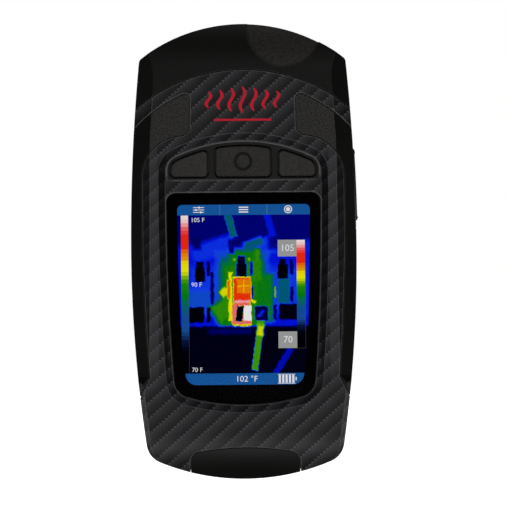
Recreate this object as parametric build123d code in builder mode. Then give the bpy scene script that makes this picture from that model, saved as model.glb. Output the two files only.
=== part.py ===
"""Hand-held thermal imaging camera, as an assembly of separate parts.

X is to the right of a person who looks at the screen, Y runs from the screen to the lens, Z is up,
and the origin is the centre of the body. All lengths are in millimetres.
"""
import os
from math import cos, radians, sin, tan

from build123d import *

os.makedirs("parts", exist_ok=True)

# ---------------------------------------------------------------- driving dimensions
BODY_HEIGHT = 125.0
BODY_WIDTH = 62.1
BODY_DEPTH = 28.5
BACK_Y = 10.5  # rear face of the slim lower body
SKIN = 1.6  # rubber skins
WALL = 3.2  # outer surface to the hollow
GROOVE = 0.25  # gap round each rubber skin
GRIP_END_LAP = 1.3  # how far the rear of each grip reaches below its front
PARTING_Y = 1.2  # joint plane of the two shells
BASIN_DEPTH = 1.2  # how far the window lies under the rim
KEY_TRAVEL = 0.5
KEY_GAP = 0.35
FIT_GAP = 0.08  # gap round the window and the keypad panel
LENS_X, LENS_Z = 11.8, 44.5
LAMP_X, LAMP_Z = -10.0, 44.5
PAD_X, PAD_Z, PAD_RADIUS, PAD_DEPTH, PAD_END_Y = 11.4, 60.4, 10.1, 0.3, -6.0  # round thumb pad

TOP_Z = BODY_HEIGHT / 2
FOOT_Z = -BODY_HEIGHT / 2
FRONT_Y = -BODY_DEPTH / 2
REAR_Y = BODY_DEPTH / 2
HALF_WIDTH = BODY_WIDTH / 2
BEYOND = 1.0  # how far cutting shapes reach past the body

# outer form
SHOULDER_X, SHOULDER_Z, SHOULDER_RADIUS = 28.4, 52.5, 1.5
HEEL_X, HEEL_Z, HEEL_RADIUS = 26.7, -56.2, 6.0
FRONT_BEVEL = 1.4
ROUND_DEPTH, ROUND_INSET, ROUND_STEPS, ROUND_ANGLE = 14.9, 8.0, 5, 80
FACET_ANGLE = 38.0
FACET_CREASE = ((70.0, 22.6), (30.5, 25.4), (-2.5, 25.7), (-34.0, 26.0), (-40.5, 31.5))

# screen stack, from the front
FLOOR_Y = FRONT_Y + BASIN_DEPTH
WINDOW_THICK = 1.2
WALL_Y = FRONT_Y + WALL
GASKET_THICK = 0.4
LCD_WIDTH, LCD_HEIGHT, LCD_THICK, LCD_TOP_Z = 42.7, 60.3, 2.3, 15.3
LCD_Z = LCD_TOP_Z - LCD_HEIGHT / 2
LCD_FRONT_Y = WALL_Y + GASKET_THICK
LCD_REAR_Y = LCD_FRONT_Y + LCD_THICK
FRAME_THICK = 0.5

# keypad
PANEL_FOOT_Z, PANEL_TOP_Z, PANEL_HALF, PANEL_RADIUS = 19.4, 30.3, 21.1, 44.0
PANEL_CORNER_RADIUS = 4.0
KEY_CORNER_RADIUS = 2.8  # upper outer corner of a side key
PANEL_FRONT_Y = FLOOR_Y - 0.2
PANEL_THICK = 0.9
KEY_FRONT_Y = FRONT_Y + 0.35
KEY_FOOT_Z = 20.4
KEY_ARC_Z = PANEL_TOP_Z - PANEL_RADIUS
FLANGE_LIP = 0.9
FLANGE_THICK = 0.6
FLANGE_FRONT_Y = WALL_Y + 0.1
KEY_X = (-14.6, 0.0, 14.6)
KEY_Z = 24.6
SWITCH_SIZE, SWITCH_HEIGHT = 4.5, 1.4
STEM_RADIUS = 1.0
RUN = 0.05  # radial play of running fits
KEYPAD_BOARD_Y = -8.0
KEYPAD_BOARD_THICK = 1.0
POST_END_Y = KEYPAD_BOARD_Y - SWITCH_HEIGHT - KEY_TRAVEL - 0.1

# boards and battery
BOARD_FRONT_Y, BOARD_THICK = -4.6, 1.6
BOARD_REAR_Y = BOARD_FRONT_Y + BOARD_THICK
BOARD_HALF, BOARD_FOOT_Z, BOARD_TOP_Z = 24.6, -43.0, 27.5
BATTERY_SIZE = (34.0, 6.6, 50.0)
BATTERY_Y, BATTERY_Z = 3.2, -18.0
BATTERY_TOP_Z = BATTERY_Z + BATTERY_SIZE[2] / 2
PAD_FOAM_SIZE = (26.0, 0.8, 40.0)
CAN_WIDTH, CAN_HEIGHT, CAN_LENGTH, CAN_Z, CAN_SHEET = 30.0, 1.6, 26.0, -22.0, 0.3
BOARD_CHIPS = ((-6.5, 16.0, 10.0, 1.2), (-18.0, 4.0, 7.0, 1.0), (3.6, 20.0, 6.0, 0.9), (2.0, 10.0, 4.0, 0.8))
FLEX_HALF = 0.12  # half thickness of the flex cables
WIRE_RADIUS = 0.55
LEAD_X = -17.0

# side door and sockets
DOOR_FRONT_Y, DOOR_REAR_Y = -8.6, -0.4
DOOR_FOOT_Z = 8.3
DOOR_BACK_X, DOOR_PROUD = 28.86, 0.35
HINGE_X, HINGE_Z, KNUCKLE_RADIUS, DOOR_PIN_RADIUS = 29.2, 26.8, 1.5, 0.5
DOOR_GAP = 0.15
DOOR_Y = (DOOR_FRONT_Y + DOOR_REAR_Y) / 2
DOOR_DEPTH = DOOR_REAR_Y - DOOR_FRONT_Y
PIN_OVERHANG = 1.2
POCKET_X = 27.9
PORT_BLOCK_X, PORT_BLOCK_END_X, PORT_BLOCK_DEPTH, PORT_BLOCK_HEIGHT = 25.4, 28.6, 10.2, 23.6
PORT_FRAME_Y, PORT_FRAME_Z = DOOR_Y + 0.1, 18.3
PORT_FRAME_DEPTH, PORT_FRAME_HEIGHT = 11.2, 24.2
LIP_X, LIP_TIP_X, LIP_HEIGHT, LIP_REAR_Y, LIP_LENGTH = 30.5, 31.5, 3.2, -2.4, 4.2
USB_WIDTH, USB_HEIGHT, USB_LENGTH, USB_Z, USB_MOUTH_X = 7.5, 2.6, 5.6, 15.4, 27.5
CARD_LENGTH, CARD_WIDTH, CARD_THICK, CARD_Z, CARD_END_X = 15.0, 11.0, 0.8, 15.4, 26.2
CARD_Y = BOARD_REAR_Y + 0.8
CARD_SOCKET_X, CARD_SOCKET_LENGTH = 9.4, 15.6
SOCKET_WALL = 0.3

# optics
SENSOR_BOARD_Y, SENSOR_BOARD_THICK = -1.0, 1.2
SENSOR_BOARD_WIDTH, SENSOR_BOARD_HEIGHT = 20.0, 17.0
SENSOR_SIZE, SENSOR_THICK = 9.4, 1.8
PIVOT_X, PIVOT_Z, AXLE_RADIUS = LENS_X - 9.4, LENS_Z - 5.0, 0.7
FLAG_Y, FLAG_THICK, FLAG_RADIUS = SENSOR_BOARD_Y + 2.6, 0.3, 4.8
BARREL_RADIUS, BARREL_BORE = 6.6, 5.2
BARREL_START_Y, BARREL_END_Y = 4.0, 12.0
REAR_ELEMENT_END_Y, FRONT_ELEMENT_START_Y = 5.6, 9.4
LENS_SEAL_END_Y, LENS_SEAL_WIDTH, LENS_SEAL_THICK = 9.6, 1.2, 0.6
LENS_CROWN_Y, LENS_CURVE = 12.2, 15.5
FACEPLATE_FRONT_Y = REAR_Y - SKIN
FACEPLATE_PROUD, FACEPLATE_FOOT_Z = 0.2, 34.0
LAMP_RADIUS = 6.0
CUP_START_Y, CUP_END_Y, CUP_MOUTH = 7.6, REAR_Y - 1.4, 2.3
EMITTER_SIZE, EMITTER_THICK, EMITTER_Y = 3.0, 0.8, 7.2
HEATSINK_END_Y, HEATSINK_THICK = 6.8, 1.4

# fasteners
CASE_SCREW_PLACES = ((-19.5, -48.5), (19.5, -48.5), (-22.9, 31.6), (22.9, 31.6))
CASE_SEAT_Y, CASE_HEAD_RADIUS, CASE_HEAD_HEIGHT, CASE_SHAFT_RADIUS = 9.0, 1.9, 1.3, 0.95
INSERT_RADIUS, INSERT_LENGTH = 1.7, 4.2
TOWER_RADIUS, TOWER_END_Y = 3.0, 12.0
BOARD_SCREW_PLACES = ((-23.0, -40.0), (23.0, -40.0), (-23.0, 24.0), (23.0, 24.0))
BOARD_SHAFT_RADIUS, BOARD_HEAD_RADIUS, BOARD_HEAD_HEIGHT = 0.7, 1.4, 0.9
HEX_KEY = 1.0

# wrist strap eye
EYE_Y, EYE_RADIUS, EYE_PLATE_Z = 5.4, 1.6, -58.6
EYE_RECESS_HALF, EYE_RECESS_TOP_Z, EYE_RECESS_FRONT_Y = 4.5, -52.6, 2.6


# ---------------------------------------------------------------- shared shapes
def front_view(depth):
    """Upright plane at a depth; extruding by a positive amount goes towards the screen side."""
    return Plane.XZ.offset(-depth)


def body_outline(inset):
    """Front view of the body, moved inward by inset."""
    with BuildSketch() as outline:
        with BuildLine():
            ThreePointArc((-SHOULDER_X, SHOULDER_Z), (0, TOP_Z), (SHOULDER_X, SHOULDER_Z))
            TangentArc((HALF_WIDTH, 0), (SHOULDER_X, SHOULDER_Z), tangent=(0, 1))
            TangentArc((HALF_WIDTH, 0), (HEEL_X, HEEL_Z), tangent=(0, -1))
            ThreePointArc((HEEL_X, HEEL_Z), (0, FOOT_Z), (-HEEL_X, HEEL_Z))
            TangentArc((-HALF_WIDTH, 0), (-HEEL_X, HEEL_Z), tangent=(0, -1))
            TangentArc((-HALF_WIDTH, 0), (-SHOULDER_X, SHOULDER_Z), tangent=(0, 1))
        make_face()
        offset(amount=-inset, kind=Kind.INTERSECTION)
        fillet(outline.vertices().group_by(Axis.Y)[-1], SHOULDER_RADIUS)
        fillet(outline.vertices().group_by(Axis.Y)[0], HEEL_RADIUS)
    return outline.sketch


def side_profile(inset):
    """Side view of the body, moved inward by inset; the first coordinate is the depth."""
    low = FOOT_Z - BEYOND
    high = TOP_Z + BEYOND
    with BuildSketch() as profile:
        with BuildLine():
            Line((FRONT_Y, 46), (FRONT_Y, -50))
            ThreePointArc((FRONT_Y, -50), (FRONT_Y + 1.5, -57.5), (FRONT_Y + 5.5, low))
            Line((FRONT_Y + 5.5, low), (6, low))
            ThreePointArc((6, low), (9.4, -58.5), (BACK_Y, -50))
            Polyline((BACK_Y, -50), (BACK_Y, 16), (REAR_Y, 31), (REAR_Y, 52))
            ThreePointArc((REAR_Y, 52), (11.6, 59), (4, high))
            Line((4, high), (-7, high))
            ThreePointArc((-7, high), (FRONT_Y + 1.9, 55.5), (FRONT_Y, 46))
        make_face()
        offset(amount=-inset, kind=Kind.INTERSECTION)
    return profile.sketch


def facet_wedge(inset):
    """Cutter for the sloping right-hand flank of the front."""
    rise = tan(radians(FACET_ANGLE))
    shift = inset * tan(radians(FACET_ANGLE / 2))
    far = HALF_WIDTH + 6
    near_y = FRONT_Y + inset
    with BuildPart() as wedge:
        for height, crease in FACET_CREASE:
            near = crease - shift
            with BuildSketch(Plane.XY.offset(height)):
                with BuildLine():
                    Polyline(
                        (near, near_y),
                        (far, near_y + (far - near) * rise),
                        (far, near_y - 4),
                        (near, near_y - 4),
                        close=True,
                    )
                make_face()
        loft(ruled=True)
        mirror(about=Plane.YZ)
    return wedge.part


def envelope(inset):
    """Solid of the whole body, moved inward by inset."""
    sections = [(FRONT_Y - 0.6, FRONT_BEVEL + 0.6), (FRONT_Y + FRONT_BEVEL, 0.2), (0, 0)]
    for step in range(1, ROUND_STEPS + 1):
        turn = radians(ROUND_ANGLE * step / ROUND_STEPS)
        sections.append((ROUND_DEPTH * sin(turn), ROUND_INSET * (1 - cos(turn))))
    with BuildPart() as form:
        for depth, tuck in sections:
            with BuildSketch(front_view(depth)):
                add(body_outline(tuck + inset))
        loft(ruled=True)
        with BuildSketch(Plane.YZ):
            add(side_profile(inset))
        extrude(amount=HALF_WIDTH + 2, both=True, mode=Mode.INTERSECT)
        add(facet_wedge(inset), mode=Mode.SUBTRACT)
    return form.part


def slab(outline, front, rear):
    """Upright plate with the given front view between two depths."""
    with BuildPart() as plate:
        with BuildSketch(front_view(rear)):
            add(outline)
        extrude(amount=rear - front)
    return plate.part


def window_outline(shrink):
    """Front view of the display window."""
    with BuildSketch() as outline:
        with BuildLine():
            Line((-21.2, 16.2), (21.2, 16.2))
            ThreePointArc((21.2, 16.2), (20.75, -14.0), (19.2, -38.9))
            ThreePointArc((19.2, -38.9), (0, -42.1), (-19.2, -38.9))
            ThreePointArc((-19.2, -38.9), (-20.75, -14.0), (-21.2, 16.2))
        make_face()
        offset(amount=-shrink, kind=Kind.INTERSECTION)
        fillet(outline.vertices().group_by(Axis.Y)[-1], 2.5 - shrink)
        fillet(outline.vertices().group_by(Axis.Y)[0], 5.0 - shrink)
    return outline.sketch


def panel_outline(shrink):
    """Front view of the keypad panel: a flat foot under an arch."""
    with BuildSketch() as outline:
        with Locations((0, KEY_ARC_Z)):
            Circle(PANEL_RADIUS)
        with Locations((0, (PANEL_FOOT_Z + PANEL_TOP_Z) / 2)):
            Rectangle(2 * PANEL_HALF, PANEL_TOP_Z - PANEL_FOOT_Z, mode=Mode.INTERSECT)
        fillet(outline.vertices().group_by(Axis.Y)[0], 1.8)
        fillet(outline.vertices().filter_by(lambda corner: corner.Y > 23), PANEL_CORNER_RADIUS)
        offset(amount=-shrink)
    return outline.sketch


def basin_outline(grow):
    """Front view of the sunken field that holds the window and the keypad."""
    with BuildSketch() as outline:
        with BuildLine():
            ThreePointArc((-21.25, 24.9), (0, PANEL_TOP_Z + 0.1), (21.25, 24.9))
            ThreePointArc((21.25, 24.9), (20.8, -14.0), (19.25, -38.95))
            ThreePointArc((19.25, -38.95), (0, -42.15), (-19.25, -38.95))
            ThreePointArc((-19.25, -38.95), (-20.8, -14.0), (-21.25, 24.9))
        make_face()
        offset(amount=grow, kind=Kind.INTERSECTION)
        fillet(outline.vertices().group_by(Axis.Y)[-1], 5.0 + grow)
        fillet(outline.vertices().group_by(Axis.Y)[0], 5.0 + grow)
    return outline.sketch


def key_outline(inner, outer, crown, grow):
    """Front view of a key between two X values, with its top edge parallel to the panel's arch."""
    with BuildSketch() as outline:
        with Locations((0, KEY_ARC_Z)):
            Circle(crown)
        with Locations(((inner + outer) / 2, KEY_FOOT_Z + 10)):
            Rectangle(outer - inner, 20, mode=Mode.INTERSECT)
        offset(amount=grow, kind=Kind.INTERSECTION)
        fillet(outline.vertices().group_by(Axis.Y)[0], 1.2 + grow)
        fillet(outline.vertices().sort_by(Axis.Y)[-1], 1.2 + grow)
        far_corner = outline.vertices().filter_by(lambda corner: corner.Y > KEY_FOOT_Z + 2).sort_by(Axis.X)
        tight = 1.2 if inner < 0 < outer else KEY_CORNER_RADIUS
        fillet(far_corner[0] if inner + outer < 0 else far_corner[-1], tight + grow)
    return outline.sketch


def side_key_outline(side, grow):
    """Front view of the left (side = -1) or right (side = 1) key."""
    inner, outer = sorted((side * 9.7, side * 19.8))
    return key_outline(inner, outer, 42.6, grow)


def centre_key_outline(grow):
    """Front view of the centre key."""
    return key_outline(-7.55, 7.55, 42.5, grow)


def cap_zone(grow):
    """Region of the body that the top bumper covers, seen from the front."""
    with BuildSketch() as zone:
        with Locations((0, TOP_Z)):
            Rectangle(2 * HALF_WIDTH + 4, 60)
        with Locations((0, 4.15)):
            Circle(45.3 - grow, mode=Mode.SUBTRACT)
        with Locations((0, TOP_Z - 62)):
            Rectangle(2 * HALF_WIDTH + 8, 76, mode=Mode.SUBTRACT)
    return zone.sketch


def bumper_zone(grow):
    """Region of the body that the bottom bumper covers, seen from the front."""
    with BuildSketch() as zone:
        with BuildLine():
            ThreePointArc((-15.2, -55.2), (0, -53.5), (15.2, -55.2))
            Polyline((15.2, -55.2), (15.2, FOOT_Z - 3), (-15.2, FOOT_Z - 3), (-15.2, -55.2))
        make_face()
        fillet(zone.vertices().group_by(Axis.Y)[-1], 3.0)
        offset(amount=grow)
    return zone.sketch


def grip_front_zone(grow):
    """Region of the front that the right grip covers: a patch beside the keypad and a side strip."""
    far = HALF_WIDTH + 4
    with BuildSketch() as zone:
        with BuildLine():
            Line((14.4, 33.0), (14.2, 43.95))
            ThreePointArc((14.2, 43.95), (25.0, 37.98), (far, 26.8))
            Polyline((far, 26.8), (far, -52.0), (25.8, -34.4), (26.7, -22.0), (27.6, 0.0), (27.55, 20.2))
            ThreePointArc((27.55, 20.2), (24.24, 28.19), (16.25, 31.5))
            Line((16.25, 31.5), (14.4, 33.0))
        make_face()
        fillet(zone.vertices().sort_by(Axis.X)[:2], 1.6)
        offset(amount=grow)
    return zone.sketch


def grip_rear_zone(grow):
    """Region of the rear that the right grip covers."""
    far = HALF_WIDTH + 4
    with BuildSketch() as zone:
        with BuildLine():
            Line((21.0, -28.0), (21.8, 20.0))
            Polyline((21.8, 20.0), (27.0, 31.2), (30.0, 33.4), (far, 36.0))
            Polyline((far, 36.0), (far, -52.0 - GRIP_END_LAP), (25.8, -34.4 - GRIP_END_LAP), (21.0, -28.0))
        make_face()
        fillet(zone.vertices().sort_by(Axis.X)[:2], 3.0)
        offset(amount=grow)
    return zone.sketch


def door_outline(grow):
    """Side view of the port door; the first coordinate is the depth."""
    with BuildSketch() as outline:
        with Locations((DOOR_Y, (DOOR_FOOT_Z + HINGE_Z) / 2)):
            Rectangle(DOOR_DEPTH, HINGE_Z - DOOR_FOOT_Z)
        fillet(outline.vertices().group_by(Axis.Y)[0], 1.6)
        offset(amount=grow, kind=Kind.INTERSECTION)
    return outline.sketch


OUTER = envelope(0.0)
CORE = envelope(SKIN)
HOLLOW = envelope(WALL)


def faceplate_outline(grow):
    """Rear view of the plate round the lens and the lamp."""
    with BuildSketch() as outline:
        add(body_outline(8.6))
        with Locations((0, FACEPLATE_FOOT_Z - 60)):
            Rectangle(80, 120, mode=Mode.SUBTRACT)
        fillet(outline.vertices().group_by(Axis.Y)[0], 3.0)
        offset(amount=grow)
    return outline.sketch


with BuildPart() as faceplate_pocket:
    add(slab(faceplate_outline(GROOVE), FACEPLATE_FRONT_Y, REAR_Y + 3))
with BuildPart() as port_frame:
    with Locations((HALF_WIDTH, PORT_FRAME_Y, PORT_FRAME_Z)):
        Box(20, PORT_FRAME_DEPTH, PORT_FRAME_HEIGHT)
with BuildPart() as thumb_pad:
    with BuildSketch(front_view(PAD_END_Y)):
        with Locations((PAD_X, PAD_Z)):
            Circle(PAD_RADIUS)
    extrude(amount=PAD_END_Y - FRONT_Y + BEYOND)
    add(envelope(PAD_DEPTH), mode=Mode.SUBTRACT)
with BuildPart() as grip_space:
    with BuildSketch(front_view(0)):
        add(grip_front_zone(0))
    extrude(amount=REAR_Y + BEYOND)
    with BuildSketch(front_view(REAR_Y + BEYOND)):
        add(grip_rear_zone(0))
    extrude(amount=REAR_Y + BEYOND)
with BuildPart() as grip_form:
    with BuildSketch(front_view(0)):
        add(grip_front_zone(-GROOVE))
    extrude(amount=REAR_Y + BEYOND)
    with BuildSketch(front_view(REAR_Y + BEYOND)):
        add(grip_rear_zone(-GROOVE))
    extrude(amount=REAR_Y + BEYOND)

# Everything that the rubber skins take away from the two shells.
with BuildPart() as rubber_space:
    add(grip_space.part)
    mirror(about=Plane.YZ)
    add(port_frame.part, mode=Mode.SUBTRACT)
    add(slab(cap_zone(0), FRONT_Y - BEYOND, REAR_Y + BEYOND))
    add(slab(bumper_zone(0), FRONT_Y - BEYOND, 3.0))
    add(CORE, mode=Mode.SUBTRACT)

# ---------------------------------------------------------------- rubber skins
with BuildPart() as top_bumper:
    add(slab(cap_zone(-GROOVE), FRONT_Y - BEYOND, REAR_Y + BEYOND))
    add(OUTER, mode=Mode.INTERSECT)
    add(CORE, mode=Mode.SUBTRACT)
    add(faceplate_pocket.part, mode=Mode.SUBTRACT)
    add(thumb_pad.part, mode=Mode.SUBTRACT)
top_bumper.part.label = "top_bumper"
export_step(top_bumper.part, "parts/top_bumper.step")

with BuildPart() as bottom_bumper:
    add(slab(bumper_zone(-GROOVE), FRONT_Y - BEYOND, 3.0 - GROOVE))
    add(OUTER, mode=Mode.INTERSECT)
    add(CORE, mode=Mode.SUBTRACT)
bottom_bumper.part.label = "bottom_bumper"
export_step(bottom_bumper.part, "parts/bottom_bumper.step")

with BuildPart() as grip_right:
    add(grip_form.part)
    add(OUTER, mode=Mode.INTERSECT)
    add(CORE, mode=Mode.SUBTRACT)
    with Locations((HALF_WIDTH, PORT_FRAME_Y, PORT_FRAME_Z)):
        frame_space = (20 + 2 * GROOVE, PORT_FRAME_DEPTH + 2 * GROOVE, PORT_FRAME_HEIGHT + 2 * GROOVE)
        Box(*frame_space, mode=Mode.SUBTRACT)
grip_right.part.label = "grip_right"
export_step(grip_right.part, "parts/grip_right.step")

with BuildPart() as grip_left:
    add(mirror(grip_form.part, about=Plane.YZ, mode=Mode.PRIVATE))
    add(OUTER, mode=Mode.INTERSECT)
    add(CORE, mode=Mode.SUBTRACT)
grip_left.part.label = "grip_left"
export_step(grip_left.part, "parts/grip_left.step")

# ---------------------------------------------------------------- shells
with BuildPart() as shell_blank:
    add(OUTER)
    add(rubber_space.part, mode=Mode.SUBTRACT)
    add(HOLLOW, mode=Mode.SUBTRACT)

with BuildPart() as seal_groove:
    with BuildSketch(front_view(PARTING_Y + 0.4)):
        add(body_outline(2.0))
        add(body_outline(2.8), mode=Mode.SUBTRACT)
    extrude(amount=0.8)

with BuildPart() as basin:
    with BuildSketch(front_view(FLOOR_Y)):
        add(basin_outline(0))
    with BuildSketch(front_view(FRONT_Y)):
        add(basin_outline(1.9))
    loft()
    with BuildSketch(front_view(FRONT_Y)):
        add(basin_outline(1.9))
    extrude(amount=BEYOND)

with BuildPart() as front_shell:
    add(shell_blank.part)
    split(bisect_by=Plane.XZ.offset(-PARTING_Y), keep=Keep.TOP)
    # bosses for the case screws and posts for the main board
    with BuildSketch(front_view(PARTING_Y - 0.2)):
        with Locations(*CASE_SCREW_PLACES):
            Circle(TOWER_RADIUS)
    extrude(amount=PARTING_Y - 0.2 - WALL_Y)
    with BuildSketch(front_view(BOARD_FRONT_Y)):
        with Locations(*BOARD_SCREW_PLACES):
            Circle(1.4)
    extrude(amount=BOARD_FRONT_Y - WALL_Y)
    # thick wall behind the side door
    with Locations(((PORT_BLOCK_X + PORT_BLOCK_END_X) / 2, DOOR_Y, 18.0)):
        Box(PORT_BLOCK_END_X - PORT_BLOCK_X, PORT_BLOCK_DEPTH, PORT_BLOCK_HEIGHT)
    add(OUTER, mode=Mode.INTERSECT)
    add(basin.part, mode=Mode.SUBTRACT)
    add(slab(window_outline(0), FLOOR_Y - BEYOND, FLOOR_Y + WINDOW_THICK), mode=Mode.SUBTRACT)
    add(slab(window_outline(1.6), FLOOR_Y, LCD_FRONT_Y), mode=Mode.SUBTRACT)
    add(slab(panel_outline(0), FLOOR_Y - BEYOND, PANEL_FRONT_Y + PANEL_THICK), mode=Mode.SUBTRACT)
    for key_hole in (side_key_outline(-1, KEY_GAP), centre_key_outline(KEY_GAP), side_key_outline(1, KEY_GAP)):
        add(slab(key_hole, FLOOR_Y, LCD_FRONT_Y), mode=Mode.SUBTRACT)
    add(seal_groove.part, mode=Mode.SUBTRACT)
    # pocket for the side door, with room for its knuckle
    with BuildSketch(Plane.YZ.offset(POCKET_X)):
        add(door_outline(DOOR_GAP))
    extrude(amount=10, mode=Mode.SUBTRACT)
    with BuildSketch(front_view(DOOR_REAR_Y + DOOR_GAP)):
        with Locations((HINGE_X, HINGE_Z)):
            Circle(KNUCKLE_RADIUS + DOOR_GAP)
        with Locations((HINGE_X + 3, HINGE_Z - 1)):
            Rectangle(6, 2 * (KNUCKLE_RADIUS + DOOR_GAP))
    extrude(amount=DOOR_DEPTH + 2 * DOOR_GAP, mode=Mode.SUBTRACT)
    with BuildSketch(front_view(DOOR_REAR_Y + PIN_OVERHANG)):
        with Locations((HINGE_X, HINGE_Z)):
            Circle(DOOR_PIN_RADIUS)
    extrude(amount=DOOR_DEPTH + 2 * PIN_OVERHANG, mode=Mode.SUBTRACT)
    # slots for the data socket and the memory card
    with Locations((POCKET_X, BOARD_FRONT_Y - USB_HEIGHT / 2, USB_Z)):
        Box(8, USB_HEIGHT + 0.2, USB_WIDTH + 0.2, mode=Mode.SUBTRACT)
    with Locations((POCKET_X, CARD_Y, CARD_Z)):
        Box(8, 1.4, CARD_WIDTH + 0.4, mode=Mode.SUBTRACT)
    # inserts and board screws
    with BuildSketch(front_view(PARTING_Y)):
        with Locations(*CASE_SCREW_PLACES):
            Circle(INSERT_RADIUS)
    extrude(amount=INSERT_LENGTH + 0.2, mode=Mode.SUBTRACT)
    with BuildSketch(front_view(BOARD_FRONT_Y)):
        with Locations(*BOARD_SCREW_PLACES):
            Circle(BOARD_SHAFT_RADIUS)
    extrude(amount=4.0, mode=Mode.SUBTRACT)
front_shell.part.label = "front_shell"
export_step(front_shell.part, "parts/front_shell.step")

with BuildPart() as rear_shell:
    add(shell_blank.part)
    split(bisect_by=Plane.XZ.offset(-PARTING_Y), keep=Keep.BOTTOM)
    # screw towers, lens housing, lamp housing and the box round the strap recess
    with BuildSketch(front_view(TOWER_END_Y)):
        with Locations(*CASE_SCREW_PLACES):
            Circle(TOWER_RADIUS)
    extrude(amount=TOWER_END_Y - PARTING_Y)
    with BuildSketch(front_view(FACEPLATE_FRONT_Y)):
        with Locations((LENS_X, LENS_Z)):
            Circle(BARREL_RADIUS + 1.6)
    extrude(amount=FACEPLATE_FRONT_Y - 5.0)
    with BuildSketch(front_view(FACEPLATE_FRONT_Y)):
        with Locations((LAMP_X, LAMP_Z)):
            Circle(LAMP_RADIUS + 1.7)
    extrude(amount=FACEPLATE_FRONT_Y - 6.4)
    with Locations((0, (EYE_RECESS_FRONT_Y - 1.4 + 12) / 2, (EYE_RECESS_TOP_Z + 1.4 + FOOT_Z) / 2)):
        Box(
            2 * EYE_RECESS_HALF + 2.8,
            12 - EYE_RECESS_FRONT_Y + 1.4,
            EYE_RECESS_TOP_Z + 1.4 - FOOT_Z,
        )
    add(OUTER, mode=Mode.INTERSECT)
    add(rubber_space.part, mode=Mode.SUBTRACT)
    add(faceplate_pocket.part, mode=Mode.SUBTRACT)
    add(seal_groove.part, mode=Mode.SUBTRACT)
    with BuildSketch(front_view(REAR_Y + BEYOND)):
        with Locations(*CASE_SCREW_PLACES):
            Circle(CASE_HEAD_RADIUS + 0.2)
    extrude(amount=REAR_Y + BEYOND - CASE_SEAT_Y, mode=Mode.SUBTRACT)
    with BuildSketch(front_view(CASE_SEAT_Y)):
        with Locations(*CASE_SCREW_PLACES):
            Circle(CASE_SHAFT_RADIUS + 0.15)
    extrude(amount=CASE_SEAT_Y - PARTING_Y, mode=Mode.SUBTRACT)
    # stepped bore of the lens housing, with the groove of its sealing ring
    with BuildSketch(front_view(REAR_Y)):
        with Locations((LENS_X, LENS_Z)):
            Circle(BARREL_RADIUS)
    extrude(amount=REAR_Y - PARTING_Y, mode=Mode.SUBTRACT)
    with BuildSketch(front_view(LENS_SEAL_END_Y)):
        with Locations((LENS_X, LENS_Z)):
            Circle(BARREL_RADIUS + LENS_SEAL_THICK)
    extrude(amount=LENS_SEAL_WIDTH, mode=Mode.SUBTRACT)
    # lamp bore
    with BuildSketch(front_view(REAR_Y)):
        with Locations((LAMP_X, LAMP_Z)):
            Circle(LAMP_RADIUS + 0.4)
    extrude(amount=REAR_Y - PARTING_Y, mode=Mode.SUBTRACT)
    # strap recess and its eye
    with Locations((0, EYE_RECESS_FRONT_Y + 10, (EYE_PLATE_Z + EYE_RECESS_TOP_Z) / 2)):
        Box(2 * EYE_RECESS_HALF, 20, EYE_RECESS_TOP_Z - EYE_PLATE_Z, mode=Mode.SUBTRACT)
    with BuildSketch(Plane.XY.offset(FOOT_Z - BEYOND)):
        with Locations((0, EYE_Y)):
            Circle(EYE_RADIUS)
    extrude(amount=EYE_PLATE_Z - FOOT_Z + 2 * BEYOND, mode=Mode.SUBTRACT)
rear_shell.part.label = "rear_shell"
export_step(rear_shell.part, "parts/rear_shell.step")

with BuildPart() as case_seal:
    add(seal_groove.part)
case_seal.part.label = "case_seal"
export_step(case_seal.part, "parts/case_seal.step")

# ---------------------------------------------------------------- screen
with BuildPart() as display_window:
    add(slab(window_outline(FIT_GAP), FLOOR_Y, FLOOR_Y + WINDOW_THICK))
display_window.part.label = "display_window"
export_step(display_window.part, "parts/display_window.step")

with BuildPart() as lcd_gasket:
    with BuildSketch(front_view(LCD_FRONT_Y)):
        with Locations((0, LCD_Z + 1.0)):
            Rectangle(LCD_WIDTH - 0.6, LCD_HEIGHT - 4.0)
        add(window_outline(1.8), mode=Mode.SUBTRACT)
    extrude(amount=GASKET_THICK)
lcd_gasket.part.label = "lcd_gasket"
export_step(lcd_gasket.part, "parts/lcd_gasket.step")

with BuildPart() as lcd_panel:
    with BuildSketch(front_view(LCD_REAR_Y)):
        with Locations((0, LCD_Z)):
            Rectangle(LCD_WIDTH, LCD_HEIGHT)
    extrude(amount=LCD_THICK)
lcd_panel.part.label = "lcd_panel"
export_step(lcd_panel.part, "parts/lcd_panel.step")

with BuildPart() as lcd_frame:
    with BuildSketch(front_view(LCD_REAR_Y + FRAME_THICK)):
        with Locations((0, LCD_Z + 0.5)):
            Rectangle(LCD_WIDTH, LCD_HEIGHT - 1.0)
        with Locations((0, LCD_Z + 14.5), (0, LCD_Z - 13.5)):
            Rectangle(LCD_WIDTH - 8, LCD_HEIGHT / 2 - 6, mode=Mode.SUBTRACT)
    extrude(amount=FRAME_THICK)
    # four feet that stand on the main board
    with BuildSketch(front_view(BOARD_FRONT_Y)):
        with Locations((0, LCD_Z)):
            with GridLocations(LCD_WIDTH - 3.2, LCD_HEIGHT - 9, 2, 2):
                Rectangle(2.4, 3.0)
    extrude(amount=BOARD_FRONT_Y - LCD_REAR_Y - FRAME_THICK)
lcd_frame.part.label = "lcd_frame"
export_step(lcd_frame.part, "parts/lcd_frame.step")

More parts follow.
